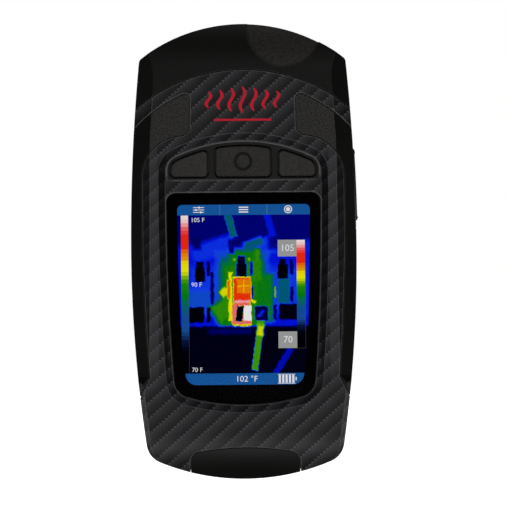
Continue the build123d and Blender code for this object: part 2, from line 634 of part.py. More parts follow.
with BuildPart() as lcd_flex:
    flex_y = LCD_REAR_Y - 1.0
    flex_z = LCD_Z - LCD_HEIGHT / 2
    board_y = BOARD_FRONT_Y - 1.0
    with BuildSketch(Plane.YZ) as flex_section:
        with BuildLine():
            FilletPolyline(
                (flex_y, flex_z - 0.15),
                (flex_y, flex_z - 4.0),
                (board_y, flex_z - 4.0),
                (board_y, -36.0),
                radius=1.6,
            )
            offset(amount=FLEX_HALF, side=Side.BOTH)
        make_face()
    extrude(amount=9.0, both=True)
lcd_flex.part.label = "lcd_flex"
export_step(lcd_flex.part, "parts/lcd_flex.step")

# ---------------------------------------------------------------- keypad
with BuildPart() as keypad_bezel:
    with BuildSketch(front_view(PANEL_FRONT_Y + PANEL_THICK)):
        add(panel_outline(FIT_GAP))
        add(side_key_outline(-1, KEY_GAP), mode=Mode.SUBTRACT)
        add(centre_key_outline(KEY_GAP), mode=Mode.SUBTRACT)
        add(side_key_outline(1, KEY_GAP), mode=Mode.SUBTRACT)
    extrude(amount=PANEL_THICK)
keypad_bezel.part.label = "keypad_bezel"
export_step(keypad_bezel.part, "parts/keypad_bezel.step")


def key_body(cap, flange, centre_x):
    """Key cap, its retaining flange and the post that works the switch."""
    with BuildPart() as key:
        with BuildSketch(front_view(FLANGE_FRONT_Y)):
            add(cap)
        extrude(amount=FLANGE_FRONT_Y - KEY_FRONT_Y)
        chamfer(key.faces().sort_by(Axis.Y)[0].edges(), 0.3)
        with BuildSketch(front_view(FLANGE_FRONT_Y + FLANGE_THICK)):
            add(flange)
        extrude(amount=FLANGE_THICK)
        with BuildSketch(front_view(POST_END_Y)):
            with Locations((centre_x, KEY_Z)):
                Circle(1.3)
        extrude(amount=POST_END_Y - FLANGE_FRONT_Y)
    return key.part


with BuildPart() as key_left:
    add(key_body(side_key_outline(-1, 0), side_key_outline(-1, FLANGE_LIP), KEY_X[0]))
key_left.part.label = "key_left"
export_step(key_left.part, "parts/key_left.step")

with BuildPart() as key_centre:
    add(key_body(centre_key_outline(0), centre_key_outline(FLANGE_LIP), KEY_X[1]))
    # sunken ring that a finger can feel
    with BuildSketch(front_view(KEY_FRONT_Y + 0.3)):
        with Locations((0, KEY_Z)):
            Circle(2.5)
            Circle(1.8, mode=Mode.SUBTRACT)
    extrude(amount=0.3, mode=Mode.SUBTRACT)
key_centre.part.label = "key_centre"
export_step(key_centre.part, "parts/key_centre.step")

with BuildPart() as key_right:
    add(key_body(side_key_outline(1, 0), side_key_outline(1, FLANGE_LIP), KEY_X[2]))
key_right.part.label = "key_right"
export_step(key_right.part, "parts/key_right.step")

for key_name, key_x in zip(("left", "centre", "right"), KEY_X):
    with BuildPart() as switch_stem:
        with BuildSketch(front_view(KEYPAD_BOARD_Y - KEY_TRAVEL - 0.15)):
            with Locations((key_x, KEY_Z)):
                Circle(STEM_RADIUS)
        extrude(amount=KEYPAD_BOARD_Y - KEY_TRAVEL - 0.15 - POST_END_Y)
    switch_stem.part.label = "switch_stem_" + key_name
    export_step(switch_stem.part, "parts/switch_stem_" + key_name + ".step")

with BuildPart() as tact_switches:
    with BuildSketch(front_view(KEYPAD_BOARD_Y)):
        with Locations(*[(key_x, KEY_Z) for key_x in KEY_X]):
            Rectangle(SWITCH_SIZE, SWITCH_SIZE)
            Circle(STEM_RADIUS + RUN, mode=Mode.SUBTRACT)
    extrude(amount=SWITCH_HEIGHT)
tact_switches.part.label = "tact_switches"
export_step(tact_switches.part, "parts/tact_switches.step")

with BuildPart() as keypad_board:
    with BuildSketch(front_view(KEYPAD_BOARD_Y + KEYPAD_BOARD_THICK)):
        with Locations((0, KEY_Z)):
            Rectangle(40.6, 10.4)
    extrude(amount=KEYPAD_BOARD_THICK)
keypad_board.part.label = "keypad_board"
export_step(keypad_board.part, "parts/keypad_board.step")

with BuildPart() as keypad_header:
    with BuildSketch(front_view(BOARD_FRONT_Y)):
        with Locations((-12.0, 25.5), (12.0, 25.5)):
            Rectangle(8.0, 2.4)
    extrude(amount=BOARD_FRONT_Y - KEYPAD_BOARD_Y - KEYPAD_BOARD_THICK)
keypad_header.part.label = "keypad_header"
export_step(keypad_header.part, "parts/keypad_header.step")

# ---------------------------------------------------------------- main board
with BuildPart() as main_board:
    with BuildSketch(front_view(BOARD_REAR_Y)) as board_outline:
        with Locations((0, (BOARD_FOOT_Z + BOARD_TOP_Z) / 2)):
            Rectangle(2 * BOARD_HALF, BOARD_TOP_Z - BOARD_FOOT_Z)
        fillet(board_outline.vertices(), 1.5)
        with Locations(*BOARD_SCREW_PLACES):
            Circle(BOARD_SHAFT_RADIUS, mode=Mode.SUBTRACT)
    extrude(amount=BOARD_THICK)
main_board.part.label = "main_board"
export_step(main_board.part, "parts/main_board.step")

with BuildPart() as board_chips:
    for chip_x, chip_z, chip_size, chip_height in BOARD_CHIPS:
        with Locations((chip_x, BOARD_REAR_Y + chip_height / 2, chip_z)):
            Box(chip_size, chip_height, chip_size)
board_chips.part.label = "board_chips"
export_step(board_chips.part, "parts/board_chips.step")

with BuildPart() as shield_can:
    with Locations((0, BOARD_REAR_Y + CAN_HEIGHT / 2, CAN_Z)):
        Box(CAN_WIDTH, CAN_HEIGHT, CAN_LENGTH)
    with Locations((0, BOARD_REAR_Y + (CAN_HEIGHT - CAN_SHEET) / 2, CAN_Z)):
        Box(CAN_WIDTH - 2 * CAN_SHEET, CAN_HEIGHT - CAN_SHEET, CAN_LENGTH - 2 * CAN_SHEET, mode=Mode.SUBTRACT)
shield_can.part.label = "shield_can"
export_step(shield_can.part, "parts/shield_can.step")

with BuildPart() as usb_socket:
    with Locations((USB_MOUTH_X - USB_LENGTH / 2, BOARD_FRONT_Y - USB_HEIGHT / 2, USB_Z)):
        Box(USB_LENGTH, USB_HEIGHT, USB_WIDTH)
    with Locations((USB_MOUTH_X, BOARD_FRONT_Y - USB_HEIGHT / 2, USB_Z)):
        Box(2 * (USB_LENGTH - 0.6), USB_HEIGHT - 2 * SOCKET_WALL, USB_WIDTH - 2 * SOCKET_WALL, mode=Mode.SUBTRACT)
    # contact tongue
    with Locations((USB_MOUTH_X - USB_LENGTH + 2.4, BOARD_FRONT_Y - USB_HEIGHT / 2 - 0.3, USB_Z)):
        Box(4.0, 0.6, 3.6)
usb_socket.part.label = "usb_socket"
export_step(usb_socket.part, "parts/usb_socket.step")

with BuildPart() as card_socket:
    with Locations((CARD_SOCKET_X + CARD_SOCKET_LENGTH / 2, CARD_Y, CARD_Z)):
        Box(CARD_SOCKET_LENGTH, 1.6, CARD_WIDTH + 2.0)
    with Locations((CARD_SOCKET_X + CARD_SOCKET_LENGTH, CARD_Y, CARD_Z)):
        Box(2 * (CARD_SOCKET_LENGTH - 0.7), CARD_THICK + 0.2, CARD_WIDTH + 0.2, mode=Mode.SUBTRACT)
card_socket.part.label = "card_socket"
export_step(card_socket.part, "parts/card_socket.step")

with BuildPart() as memory_card:
    with BuildSketch(front_view(CARD_Y + CARD_THICK / 2)) as card_outline:
        with Locations((CARD_END_X - CARD_LENGTH / 2, CARD_Z)):
            Rectangle(CARD_LENGTH, CARD_WIDTH)
        fillet(card_outline.vertices(), 0.6)
    extrude(amount=CARD_THICK)
memory_card.part.label = "memory_card"
export_step(memory_card.part, "parts/memory_card.step")

with BuildPart() as battery_pack:
    with Locations((0, BATTERY_Y, BATTERY_Z)):
        Box(*BATTERY_SIZE)
    fillet(battery_pack.edges().filter_by(Axis.Z), 2.2)
battery_pack.part.label = "battery_pack"
export_step(battery_pack.part, "parts/battery_pack.step")

with BuildPart() as battery_pad:
    with Locations((0, BATTERY_Y + (BATTERY_SIZE[1] + PAD_FOAM_SIZE[1]) / 2, BATTERY_Z)):
        Box(*PAD_FOAM_SIZE)
battery_pad.part.label = "battery_pad"
export_step(battery_pad.part, "parts/battery_pad.step")

with BuildPart() as battery_socket:
    with Locations((LEAD_X, BOARD_REAR_Y + 1.6, BATTERY_TOP_Z + 12.0)):
        Box(6.0, 3.2, 4.0)
battery_socket.part.label = "battery_socket"
export_step(battery_socket.part, "parts/battery_socket.step")

with BuildPart() as battery_lead:
    for wire_x in (LEAD_X - 1.2, LEAD_X + 1.2):
        with BuildLine() as wire_path:
            FilletPolyline(
                (wire_x, BATTERY_Y, BATTERY_TOP_Z),
                (wire_x, BATTERY_Y, BATTERY_TOP_Z + 3.0),
                (wire_x, BATTERY_Y - 4.4, BATTERY_TOP_Z + 7.0),
                (wire_x, BATTERY_Y - 4.4, BATTERY_TOP_Z + 10.0),
                radius=2.0,
            )
        with BuildSketch(Plane(origin=(wire_x, BATTERY_Y, BATTERY_TOP_Z), z_dir=(0, 0, 1))):
            Circle(WIRE_RADIUS)
        sweep(path=wire_path.line)
battery_lead.part.label = "battery_lead"
export_step(battery_lead.part, "parts/battery_lead.step")

# ---------------------------------------------------------------- thermal camera core
with BuildPart() as sensor_board:
    with Locations((LENS_X, SENSOR_BOARD_Y - SENSOR_BOARD_THICK / 2, LENS_Z)):
        Box(SENSOR_BOARD_WIDTH, SENSOR_BOARD_THICK, SENSOR_BOARD_HEIGHT)
sensor_board.part.label = "sensor_board"
export_step(sensor_board.part, "parts/sensor_board.step")

with BuildPart() as sensor_package:
    with Locations((LENS_X, SENSOR_BOARD_Y + SENSOR_THICK / 2, LENS_Z)):
        Box(SENSOR_SIZE, SENSOR_THICK, SENSOR_SIZE)
sensor_package.part.label = "sensor_package"
export_step(sensor_package.part, "parts/sensor_package.step")

with BuildPart() as sensor_flex:
    with BuildSketch(Plane.YZ.offset(LENS_X)) as flex_strip:
        with BuildLine():
            FilletPolyline(
                (BOARD_REAR_Y + 0.3, BOARD_TOP_Z - 5.0),
                (BOARD_REAR_Y + 0.3, BOARD_TOP_Z + 2.5),
                (SENSOR_BOARD_Y + 0.3, BOARD_TOP_Z + 5.0),
                (SENSOR_BOARD_Y + 0.3, LENS_Z - 6.0),
                radius=1.5,
            )
            offset(amount=FLEX_HALF, side=Side.BOTH)
        make_face()
    extrude(amount=4.0, both=True)
sensor_flex.part.label = "sensor_flex"
export_step(sensor_flex.part, "parts/sensor_flex.step")

with BuildPart() as shutter_actuator:
    with BuildSketch(front_view(FLAG_Y - 0.2)):
        with Locations((PIVOT_X, PIVOT_Z)):
            Circle(3.2)
    extrude(amount=FLAG_Y - 0.2 - SENSOR_BOARD_Y)
    # axle of the flag
    with BuildSketch(front_view(FLAG_Y + 1.0)):
        with Locations((PIVOT_X, PIVOT_Z)):
            Circle(AXLE_RADIUS)
    extrude(amount=2.0)
shutter_actuator.part.label = "shutter_actuator"
export_step(shutter_actuator.part, "parts/shutter_actuator.step")

with BuildPart() as shutter_flag:
    with BuildSketch(front_view(FLAG_Y + FLAG_THICK)):
        with Locations((PIVOT_X, PIVOT_Z)):
            Circle(1.8)
        with Locations((PIVOT_X, PIVOT_Z + 4.0)):
            Rectangle(2.0, 8.0)
        with Locations((PIVOT_X + 1.2, PIVOT_Z + 10.4)):
            Circle(FLAG_RADIUS)
        with Locations((PIVOT_X, PIVOT_Z)):
            Circle(AXLE_RADIUS + RUN, mode=Mode.SUBTRACT)
    extrude(amount=FLAG_THICK)
shutter_flag.part.label = "shutter_flag"
export_step(shutter_flag.part, "parts/shutter_flag.step")

with BuildPart() as lens_barrel:
    with BuildSketch(front_view(BARREL_END_Y)):
        with Locations((LENS_X, LENS_Z)):
            Circle(BARREL_RADIUS)
            Circle(BARREL_BORE, mode=Mode.SUBTRACT)
    extrude(amount=BARREL_END_Y - BARREL_START_Y)
    with BuildSketch(front_view(BARREL_START_Y)):
        with Locations((LENS_X, LENS_Z)):
            Circle(BARREL_RADIUS)
            Circle(BARREL_BORE - 1.2, mode=Mode.SUBTRACT)
    extrude(amount=0.8)
lens_barrel.part.label = "lens_barrel"
export_step(lens_barrel.part, "parts/lens_barrel.step")

with BuildPart() as lens_front_element:
    with BuildSketch(front_view(LENS_CROWN_Y)):
        with Locations((LENS_X, LENS_Z)):
            Circle(BARREL_BORE)
    extrude(amount=LENS_CROWN_Y - FRONT_ELEMENT_START_Y)
    with Locations((LENS_X, LENS_CROWN_Y - LENS_CURVE, LENS_Z)):
        Sphere(LENS_CURVE, mode=Mode.INTERSECT)
lens_front_element.part.label = "lens_front_element"
export_step(lens_front_element.part, "parts/lens_front_element.step")

with BuildPart() as lens_rear_element:
    with BuildSketch(front_view(REAR_ELEMENT_END_Y)):
        with Locations((LENS_X, LENS_Z)):
            Circle(BARREL_BORE)
    extrude(amount=REAR_ELEMENT_END_Y - BARREL_START_Y)
lens_rear_element.part.label = "lens_rear_element"
export_step(lens_rear_element.part, "parts/lens_rear_element.step")

with BuildPart() as lens_spacer:
    with BuildSketch(front_view(FRONT_ELEMENT_START_Y)):
        with Locations((LENS_X, LENS_Z)):
            Circle(BARREL_BORE)
            Circle(BARREL_BORE - 0.8, mode=Mode.SUBTRACT)
    extrude(amount=FRONT_ELEMENT_START_Y - REAR_ELEMENT_END_Y)
lens_spacer.part.label = "lens_spacer"
export_step(lens_spacer.part, "parts/lens_spacer.step")

with BuildPart() as lens_retaining_ring:
    with BuildSketch(front_view(FACEPLATE_FRONT_Y + 0.6)):
        with Locations((LENS_X, LENS_Z)):
            Circle(BARREL_RADIUS)
            Circle(BARREL_BORE - 0.9, mode=Mode.SUBTRACT)
    extrude(amount=FACEPLATE_FRONT_Y + 0.6 - BARREL_END_Y)
    chamfer(lens_retaining_ring.faces().sort_by(Axis.Y)[-1].edges().sort_by(SortBy.LENGTH)[0], 0.6)
lens_retaining_ring.part.label = "lens_retaining_ring"
export_step(lens_retaining_ring.part, "parts/lens_retaining_ring.step")

with BuildPart() as lens_seal:
    with BuildSketch(front_view(LENS_SEAL_END_Y)):
        with Locations((LENS_X, LENS_Z)):
            Circle(BARREL_RADIUS + LENS_SEAL_THICK)
            Circle(BARREL_RADIUS, mode=Mode.SUBTRACT)
    extrude(amount=LENS_SEAL_WIDTH)
lens_seal.part.label = "lens_seal"
export_step(lens_seal.part, "parts/lens_seal.step")

with BuildPart() as rear_faceplate:
    with BuildSketch(front_view(REAR_Y + FACEPLATE_PROUD)):
        add(faceplate_outline(0))
        with Locations((LENS_X, LENS_Z)):
            Circle(BARREL_RADIUS + 0.1, mode=Mode.SUBTRACT)
        with Locations((LAMP_X, LAMP_Z)):
            Circle(LAMP_RADIUS + 0.1, mode=Mode.SUBTRACT)
    extrude(amount=REAR_Y + FACEPLATE_PROUD - FACEPLATE_FRONT_Y)
rear_faceplate.part.label = "rear_faceplate"
export_step(rear_faceplate.part, "parts/rear_faceplate.step")

# ---------------------------------------------------------------- lamp
with BuildPart() as lamp_window:
    with BuildSketch(front_view(REAR_Y - 0.2)):
        with Locations((LAMP_X, LAMP_Z)):
            Circle(LAMP_RADIUS)
    extrude(amount=1.2)
lamp_window.part.label = "lamp_window"
export_step(lamp_window.part, "parts/lamp_window.step")

with BuildPart() as lamp_reflector:
    with BuildSketch(Plane.YZ) as cup_half:
        with BuildLine():
            Polyline((CUP_START_Y, CUP_MOUTH), (CUP_START_Y, 2.9), (12.2, LAMP_RADIUS), (CUP_END_Y, LAMP_RADIUS))
            Line((CUP_END_Y, LAMP_RADIUS), (CUP_END_Y, LAMP_RADIUS - 0.5))
            ThreePointArc((CUP_END_Y, LAMP_RADIUS - 0.5), (9.7, 4.45), (CUP_START_Y, CUP_MOUTH))
        make_face()
    revolve(axis=Axis.Y)
lamp_reflector.part.position = (LAMP_X, 0, LAMP_Z)
lamp_reflector.part.label = "lamp_reflector"
export_step(lamp_reflector.part, "parts/lamp_reflector.step")

with BuildPart() as lamp_emitter:
    with Locations((LAMP_X, EMITTER_Y, LAMP_Z)):
        Box(EMITTER_SIZE, EMITTER_THICK, EMITTER_SIZE)
lamp_emitter.part.label = "lamp_emitter"
export_step(lamp_emitter.part, "parts/lamp_emitter.step")

with BuildPart() as lamp_heatsink:
    with BuildSketch(front_view(HEATSINK_END_Y)):
        with Locations((LAMP_X, LAMP_Z)):
            Circle(LAMP_RADIUS + 0.3)
    extrude(amount=HEATSINK_THICK)
lamp_heatsink.part.label = "lamp_heatsink"
export_step(lamp_heatsink.part, "parts/lamp_heatsink.step")

# ---------------------------------------------------------------- side door
with BuildPart() as port_door:
    with BuildSketch(Plane.YZ.offset(25)):
        add(door_outline(0))
    extrude(amount=10)
    add(envelope(-DOOR_PROUD), mode=Mode.INTERSECT)
    with Locations((DOOR_BACK_X - 10, 0, 18)):
        Box(20, 30, 40, mode=Mode.SUBTRACT)
    # pull lip
    with BuildSketch(front_view(LIP_REAR_Y)):
        with BuildLine():
            Polyline(
                (LIP_X, DOOR_FOOT_Z),
                (LIP_TIP_X, DOOR_FOOT_Z + 0.6),
                (LIP_X, DOOR_FOOT_Z + LIP_HEIGHT),
                close=True,
            )
        make_face()
    extrude(amount=LIP_LENGTH)
    with BuildSketch(front_view(DOOR_REAR_Y)):
        with Locations((HINGE_X, HINGE_Z)):
            Circle(KNUCKLE_RADIUS)
    extrude(amount=DOOR_DEPTH)
    with BuildSketch(front_view(DOOR_REAR_Y)):
        with Locations((HINGE_X, HINGE_Z)):
            Circle(DOOR_PIN_RADIUS + RUN)
    extrude(amount=DOOR_DEPTH, mode=Mode.SUBTRACT)
port_door.part.label = "port_door"
export_step(port_door.part, "parts/port_door.step")

with BuildPart() as door_pin:
    with BuildSketch(front_view(DOOR_REAR_Y + PIN_OVERHANG)):
        with Locations((HINGE_X, HINGE_Z)):
            Circle(DOOR_PIN_RADIUS)
    extrude(amount=DOOR_DEPTH + 2 * PIN_OVERHANG)
door_pin.part.label = "door_pin"
export_step(door_pin.part, "parts/door_pin.step")

# ---------------------------------------------------------------- fasteners
with BuildPart() as case_screws:
    with BuildSketch(front_view(CASE_SEAT_Y + CASE_HEAD_HEIGHT)):
        with Locations(*CASE_SCREW_PLACES):
            Circle(CASE_HEAD_RADIUS)
            RegularPolygon(HEX_KEY, 6, mode=Mode.SUBTRACT)
    extrude(amount=CASE_HEAD_HEIGHT)
    with BuildSketch(front_view(CASE_SEAT_Y + 0.3)):
        with Locations(*CASE_SCREW_PLACES):
            Circle(HEX_KEY + 0.2)
    extrude(amount=0.3)
    with BuildSketch(front_view(CASE_SEAT_Y)):
        with Locations(*CASE_SCREW_PLACES):
            Circle(CASE_SHAFT_RADIUS)
    extrude(amount=CASE_SEAT_Y - PARTING_Y + INSERT_LENGTH - 0.4)
case_screws.part.label = "case_screws"
export_step(case_screws.part, "parts/case_screws.step")

with BuildPart() as threaded_inserts:
    with BuildSketch(front_view(PARTING_Y - 0.2)):
        with Locations(*CASE_SCREW_PLACES):
            Circle(INSERT_RADIUS)
            Circle(CASE_SHAFT_RADIUS, mode=Mode.SUBTRACT)
    extrude(amount=INSERT_LENGTH)
threaded_inserts.part.label = "threaded_inserts"
export_step(threaded_inserts.part, "parts/threaded_inserts.step")

with BuildPart() as board_screws:
    with BuildSketch(front_view(BOARD_REAR_Y + BOARD_HEAD_HEIGHT)):
        with Locations(*BOARD_SCREW_PLACES):
            Circle(BOARD_HEAD_RADIUS)
    extrude(amount=BOARD_HEAD_HEIGHT)
    with BuildSketch(front_view(BOARD_REAR_Y)):
        with Locations(*BOARD_SCREW_PLACES):
            Circle(BOARD_SHAFT_RADIUS)
    extrude(amount=BOARD_THICK + 3.0)
board_screws.part.label = "board_screws"
export_step(board_screws.part, "parts/board_screws.step")
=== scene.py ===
"""Looks of the hand-held thermal imaging camera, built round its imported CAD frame. Units are metres."""
import math

import bmesh
import bpy
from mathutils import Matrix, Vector


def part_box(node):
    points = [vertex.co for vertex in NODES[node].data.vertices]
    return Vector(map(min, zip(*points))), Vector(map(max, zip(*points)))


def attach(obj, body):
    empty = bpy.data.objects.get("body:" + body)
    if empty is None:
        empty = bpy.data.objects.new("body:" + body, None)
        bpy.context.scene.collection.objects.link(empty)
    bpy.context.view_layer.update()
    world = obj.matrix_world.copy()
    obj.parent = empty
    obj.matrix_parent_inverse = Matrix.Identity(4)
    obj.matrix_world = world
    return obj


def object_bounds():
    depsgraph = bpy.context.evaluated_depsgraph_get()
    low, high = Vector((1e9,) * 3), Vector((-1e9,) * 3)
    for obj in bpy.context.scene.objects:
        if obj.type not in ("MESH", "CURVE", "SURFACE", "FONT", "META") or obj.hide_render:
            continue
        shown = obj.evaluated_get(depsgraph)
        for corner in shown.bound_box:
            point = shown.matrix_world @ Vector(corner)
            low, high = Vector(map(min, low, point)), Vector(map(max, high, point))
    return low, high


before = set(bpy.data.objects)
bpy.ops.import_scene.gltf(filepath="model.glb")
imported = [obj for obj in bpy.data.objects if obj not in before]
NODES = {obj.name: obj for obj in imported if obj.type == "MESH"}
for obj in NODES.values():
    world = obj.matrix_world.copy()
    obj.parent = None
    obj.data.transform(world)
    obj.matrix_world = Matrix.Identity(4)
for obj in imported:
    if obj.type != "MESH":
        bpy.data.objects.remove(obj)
CAD_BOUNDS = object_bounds()
MM = 0.001


# ---------------------------------------------------------------- places taken from the frame
def low(node):
    return Vector(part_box(node)[0])


def high(node):
    return Vector(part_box(node)[1])


def middle(node):
    return (low(node) + high(node)) / 2


BODY_LOW = Vector(CAD_BOUNDS[0])
FRONT_Y = low("front_shell").y
WINDOW_BACK_Y = high("display_window").y
LCD_FRONT_Y = low("lcd_panel").y


# ---------------------------------------------------------------- node trees
class Tree:
    """Adds shader nodes by name; a socket argument is linked and any other is set."""

    def __init__(self, nodes_owner):
        self.tree = nodes_owner
        self.nodes = nodes_owner.nodes
        self.links = nodes_owner.links

    def put(self, socket, value):
        if isinstance(value, bpy.types.NodeSocket):
            self.links.new(value, socket)
        else:
            socket.default_value = value

    def add(self, kind, inputs=(), **settings):
        node = self.nodes.new(kind)
        for name, value in settings.items():
            setattr(node, name, value)
        for key, value in dict(inputs).items():
            self.put(node.inputs[key], value)
        return node

    def math(self, operation, *values, clamp=False):
        node = self.add("ShaderNodeMath", enumerate(values), operation=operation, use_clamp=clamp)
        return node.outputs[0]

    def vector(self, operation, *values):
        node = self.add("ShaderNodeVectorMath", enumerate(values), operation=operation)
        return node.outputs[0]

    def parts(self, vector):
        return self.add("ShaderNodeSeparateXYZ", {0: vector}).outputs

    def distance(self, x, y):
        return self.math("SQRT", self.math("ADD", self.math("MULTIPLY", x, x), self.math("MULTIPLY", y, y)))

    def product(self, first, *others):
        for value in others:
            first = self.math("MULTIPLY", first, value)
        return first

    def passed(self, first, second, width):
        """0..1 as first gets ahead of second, over a width."""
        return self.math("DIVIDE", self.math("SUBTRACT", first, second), width, clamp=True)

    def flat_normal(self):
        return self.add("ShaderNodeNewGeometry").outputs["True Normal"]

    def join(self, x, y, z):
        return self.add("ShaderNodeCombineXYZ", {0: x, 1: y, 2: z}).outputs[0]

    def place(self):
        return self.add("ShaderNodeTexCoord").outputs["Object"]

    def noise(self, vector, scale, detail=3.0, rough=0.5):
        inputs = {"Vector": vector, "Scale": scale, "Detail": detail, "Roughness": rough}
        return self.add("ShaderNodeTexNoise", inputs).outputs["Fac"]

    def mix(self, factor, first, second):
        node = self.add("ShaderNodeMix", data_type="RGBA")
        for socket, value in zip((node.inputs[0], node.inputs[6], node.inputs[7]), (factor, first, second)):
            self.put(socket, value)
        return node.outputs[2]

    def ramp(self, factor, stops):
        node = self.add("ShaderNodeValToRGB", {0: factor})
        node.color_ramp.interpolation = "LINEAR"
        elements = node.color_ramp.elements
        while len(elements) < len(stops):
            elements.new(0.5)
        for element, (position, tone) in zip(elements, stops):
            element.position = position
            element.color = tone
        return node.outputs["Color"]

    def bump(self, height, distance, strength=1.0, normal=None):
        inputs = {"Height": height, "Distance": distance, "Strength": strength}
        if normal is not None:
            inputs["Normal"] = normal
        return self.add("ShaderNodeBump", inputs).outputs[0]


def linear(level):
    """Linear light of a display level from 0 to 255."""
    share = level / 255
    return share / 12.92 if share <= 0.04045 else ((share + 0.055) / 1.055) ** 2.4


def colour(red, green, blue):
    return (linear(red), linear(green), linear(blue), 1.0)


def material(name, base=None, **constants):
    """Principled material whose constants are set on the shader itself."""
    made = bpy.data.materials.new(name)
    made.use_nodes = True
    shader = made.node_tree.nodes["Principled BSDF"]
    if base is not None:
        shader.inputs["Base Color"].default_value = base
    for key, value in constants.items():
        shader.inputs[key.replace("_", " ")].default_value = value
    return made, Tree(made.node_tree), shader


def edge_highlight_mask(tree, radius):
    """(rounded normal, 0..1 mask along edges where a painted highlight goes) for a bevel radius in metres.
    """
    contrast = 7.0
    rounded = tree.add("ShaderNodeBevel", {"Radius": radius}, samples=6).outputs[0]
    dot = tree.add("ShaderNodeVectorMath", {0: rounded, 1: tree.flat_normal()}, operation="DOT_PRODUCT")
    bend = tree.math("SUBTRACT", 1.0, dot.outputs["Value"])
    return rounded, tree.math("MULTIPLY", bend, contrast, clamp=True)


def grained(name, dark, light, grain, depth, rough, edge=None, paint=None, **constants):
    """Moulded surface: two close tones, grain bump, uneven gloss and painted highlights along edges."""
    cloud_scale, gloss_spread, edge_share = 60.0, 0.16, 0.9
    edge_radius, soft_radius = 0.3 * MM, 0.2 * MM
    made, tree, shader = material(name, **constants)
    place = tree.place()
    broad = tree.noise(place, cloud_scale, 4.0, 0.6)
    fine = tree.noise(place, grain, 2.0, 0.5)
    tone = tree.math("ADD", tree.math("MULTIPLY", broad, 0.4), tree.math("MULTIPLY", fine, 0.6))
    tone = tree.math("MULTIPLY_ADD", tone, 3.0, -1.0, clamp=True)
    base = tree.mix(tone, dark, light)
    if paint is not None:
        base = paint(tree, base, fine)
    if edge is None:
        normal = tree.add("ShaderNodeBevel", {"Radius": soft_radius}, samples=4).outputs[0]
    else:
        # Painted highlight along the edges, in the edge tone.
        normal, mask = edge_highlight_mask(tree, edge_radius)
        base = tree.mix(tree.math("MULTIPLY", mask, edge_share), base, edge)
    tree.put(shader.inputs["Base Color"], base)
    gloss = tree.math("MULTIPLY_ADD", broad, gloss_spread, rough - gloss_spread / 2)
    tree.put(shader.inputs["Roughness"], gloss)
    tree.put(shader.inputs["Normal"], tree.bump(fine, depth, 0.6, normal))
    return made


def stippled(tree, base, area, fine, contrast, offset, tone):
    """Fine grains of another tone over an area."""
    grains = tree.math("MULTIPLY_ADD", fine, contrast, offset, clamp=True)
    return tree.mix(tree.math("MULTIPLY", area, grains), base, tone)


def thumb_pad_paint(tree, base, fine):
    """Lighter stipple over the round pad of the top bumper."""
    pad_x, pad_z, pad_radius, soft_edge = 11.4 * MM, 60.4 * MM, 10.1 * MM, 0.5 * MM
    front_limit = -6.0 * MM
    x, y, z = tree.parts(tree.place())
    radius = tree.distance(tree.math("SUBTRACT", x, pad_x), tree.math("SUBTRACT", z, pad_z))
    inside = tree.passed(pad_radius, radius, soft_edge)
    area = tree.math("MULTIPLY", inside, tree.math("LESS_THAN", y, front_limit))
    return stippled(tree, base, area, fine, 2.6, -0.6, colour(56, 54, 51))


def grip_pad_sheen_paint(tree, base, fine):
    """Lighter stipple on the flat pads at the upper ends of the grips: rubber grain, lightened as a painted
    sheen on the faces that look forward.
    """
    pad_foot, fade_height, facing = 17.0 * MM, 9.0 * MM, -0.93
    _, _, z = tree.parts(tree.place())
    _, normal_y, _ = tree.parts(tree.flat_normal())
    # Only forward-facing faces get the lighter tone, a painted sheen.
    front = tree.math("LESS_THAN", normal_y, facing)
    area = tree.math("MULTIPLY", front, tree.passed(z, pad_foot, fade_height))
    return stippled(tree, base, area, fine, 3.4, -1.0, colour(68, 67, 64))


def ring_groove_shade_paint(tree, base, _):
    """Painted shade in the ring groove in the middle of the centre key."""
    ring_z, ring_radius, half_stroke, soft_edge = 24.6 * MM, 2.15 * MM, 0.42 * MM, 0.12 * MM
    x, _, z = tree.parts(tree.place())
    radius = tree.distance(x, tree.math("SUBTRACT", z, ring_z))
    off = tree.math("ABSOLUTE", tree.math("SUBTRACT", radius, ring_radius))
    return tree.mix(tree.passed(half_stroke, off, soft_edge), base, colour(3, 3, 3))


def panel_rim_highlight_paint(tree, base, fine):
    """Painted highlight along the outer outline of the keypad panel."""
    arch, fillet = 44.0 * MM, 4.0 * MM
    rim_width, soft_edge, foot_lift, front_depth = 0.34 * MM, 0.12 * MM, 0.16 * MM, 0.2 * MM
    corner, far_corner = low("keypad_bezel"), high("keypad_bezel")
    arch_z = far_corner.z - arch
    x, y, z = tree.parts(tree.place())
    away = tree.math("ABSOLUTE", x)
    inset = tree.math("SUBTRACT", arch, tree.distance(x, tree.math("SUBTRACT", z, arch_z)))
    inset = tree.math("MINIMUM", inset, tree.math("SUBTRACT", far_corner.x, away))
    # Past the start of each upper corner's fillet, the distance to the fillet counts.
    fillet_x = far_corner.x - fillet
    fillet_rise = math.sqrt((arch - fillet) ** 2 - fillet_x**2)
    across = tree.math("SUBTRACT", away, fillet_x)
    over = tree.math("SUBTRACT", z, arch_z + fillet_rise)
    rounded = tree.math("SUBTRACT", fillet, tree.distance(across, over))
    past_arch = tree.math("SUBTRACT", across, tree.math("MULTIPLY", over, fillet_x / fillet_rise))
    at_corner = tree.math("GREATER_THAN", past_arch, 0.0)
    at_corner = tree.math("MULTIPLY", at_corner, tree.math("GREATER_THAN", over, 0.0))
    change = tree.math("MULTIPLY", at_corner, tree.math("SUBTRACT", rounded, inset))
    inset = tree.math("ADD", inset, change)
    inset = tree.math("MINIMUM", inset, tree.math("SUBTRACT", z, corner.z - foot_lift))
    rim = tree.passed(rim_width, inset, soft_edge)
    area = tree.math("MULTIPLY", rim, tree.math("LESS_THAN", y, corner.y + front_depth))
    # The light rim tone is a painted highlight.
    return stippled(tree, base, area, fine, 0.8, 0.4, colour(128, 127, 124))


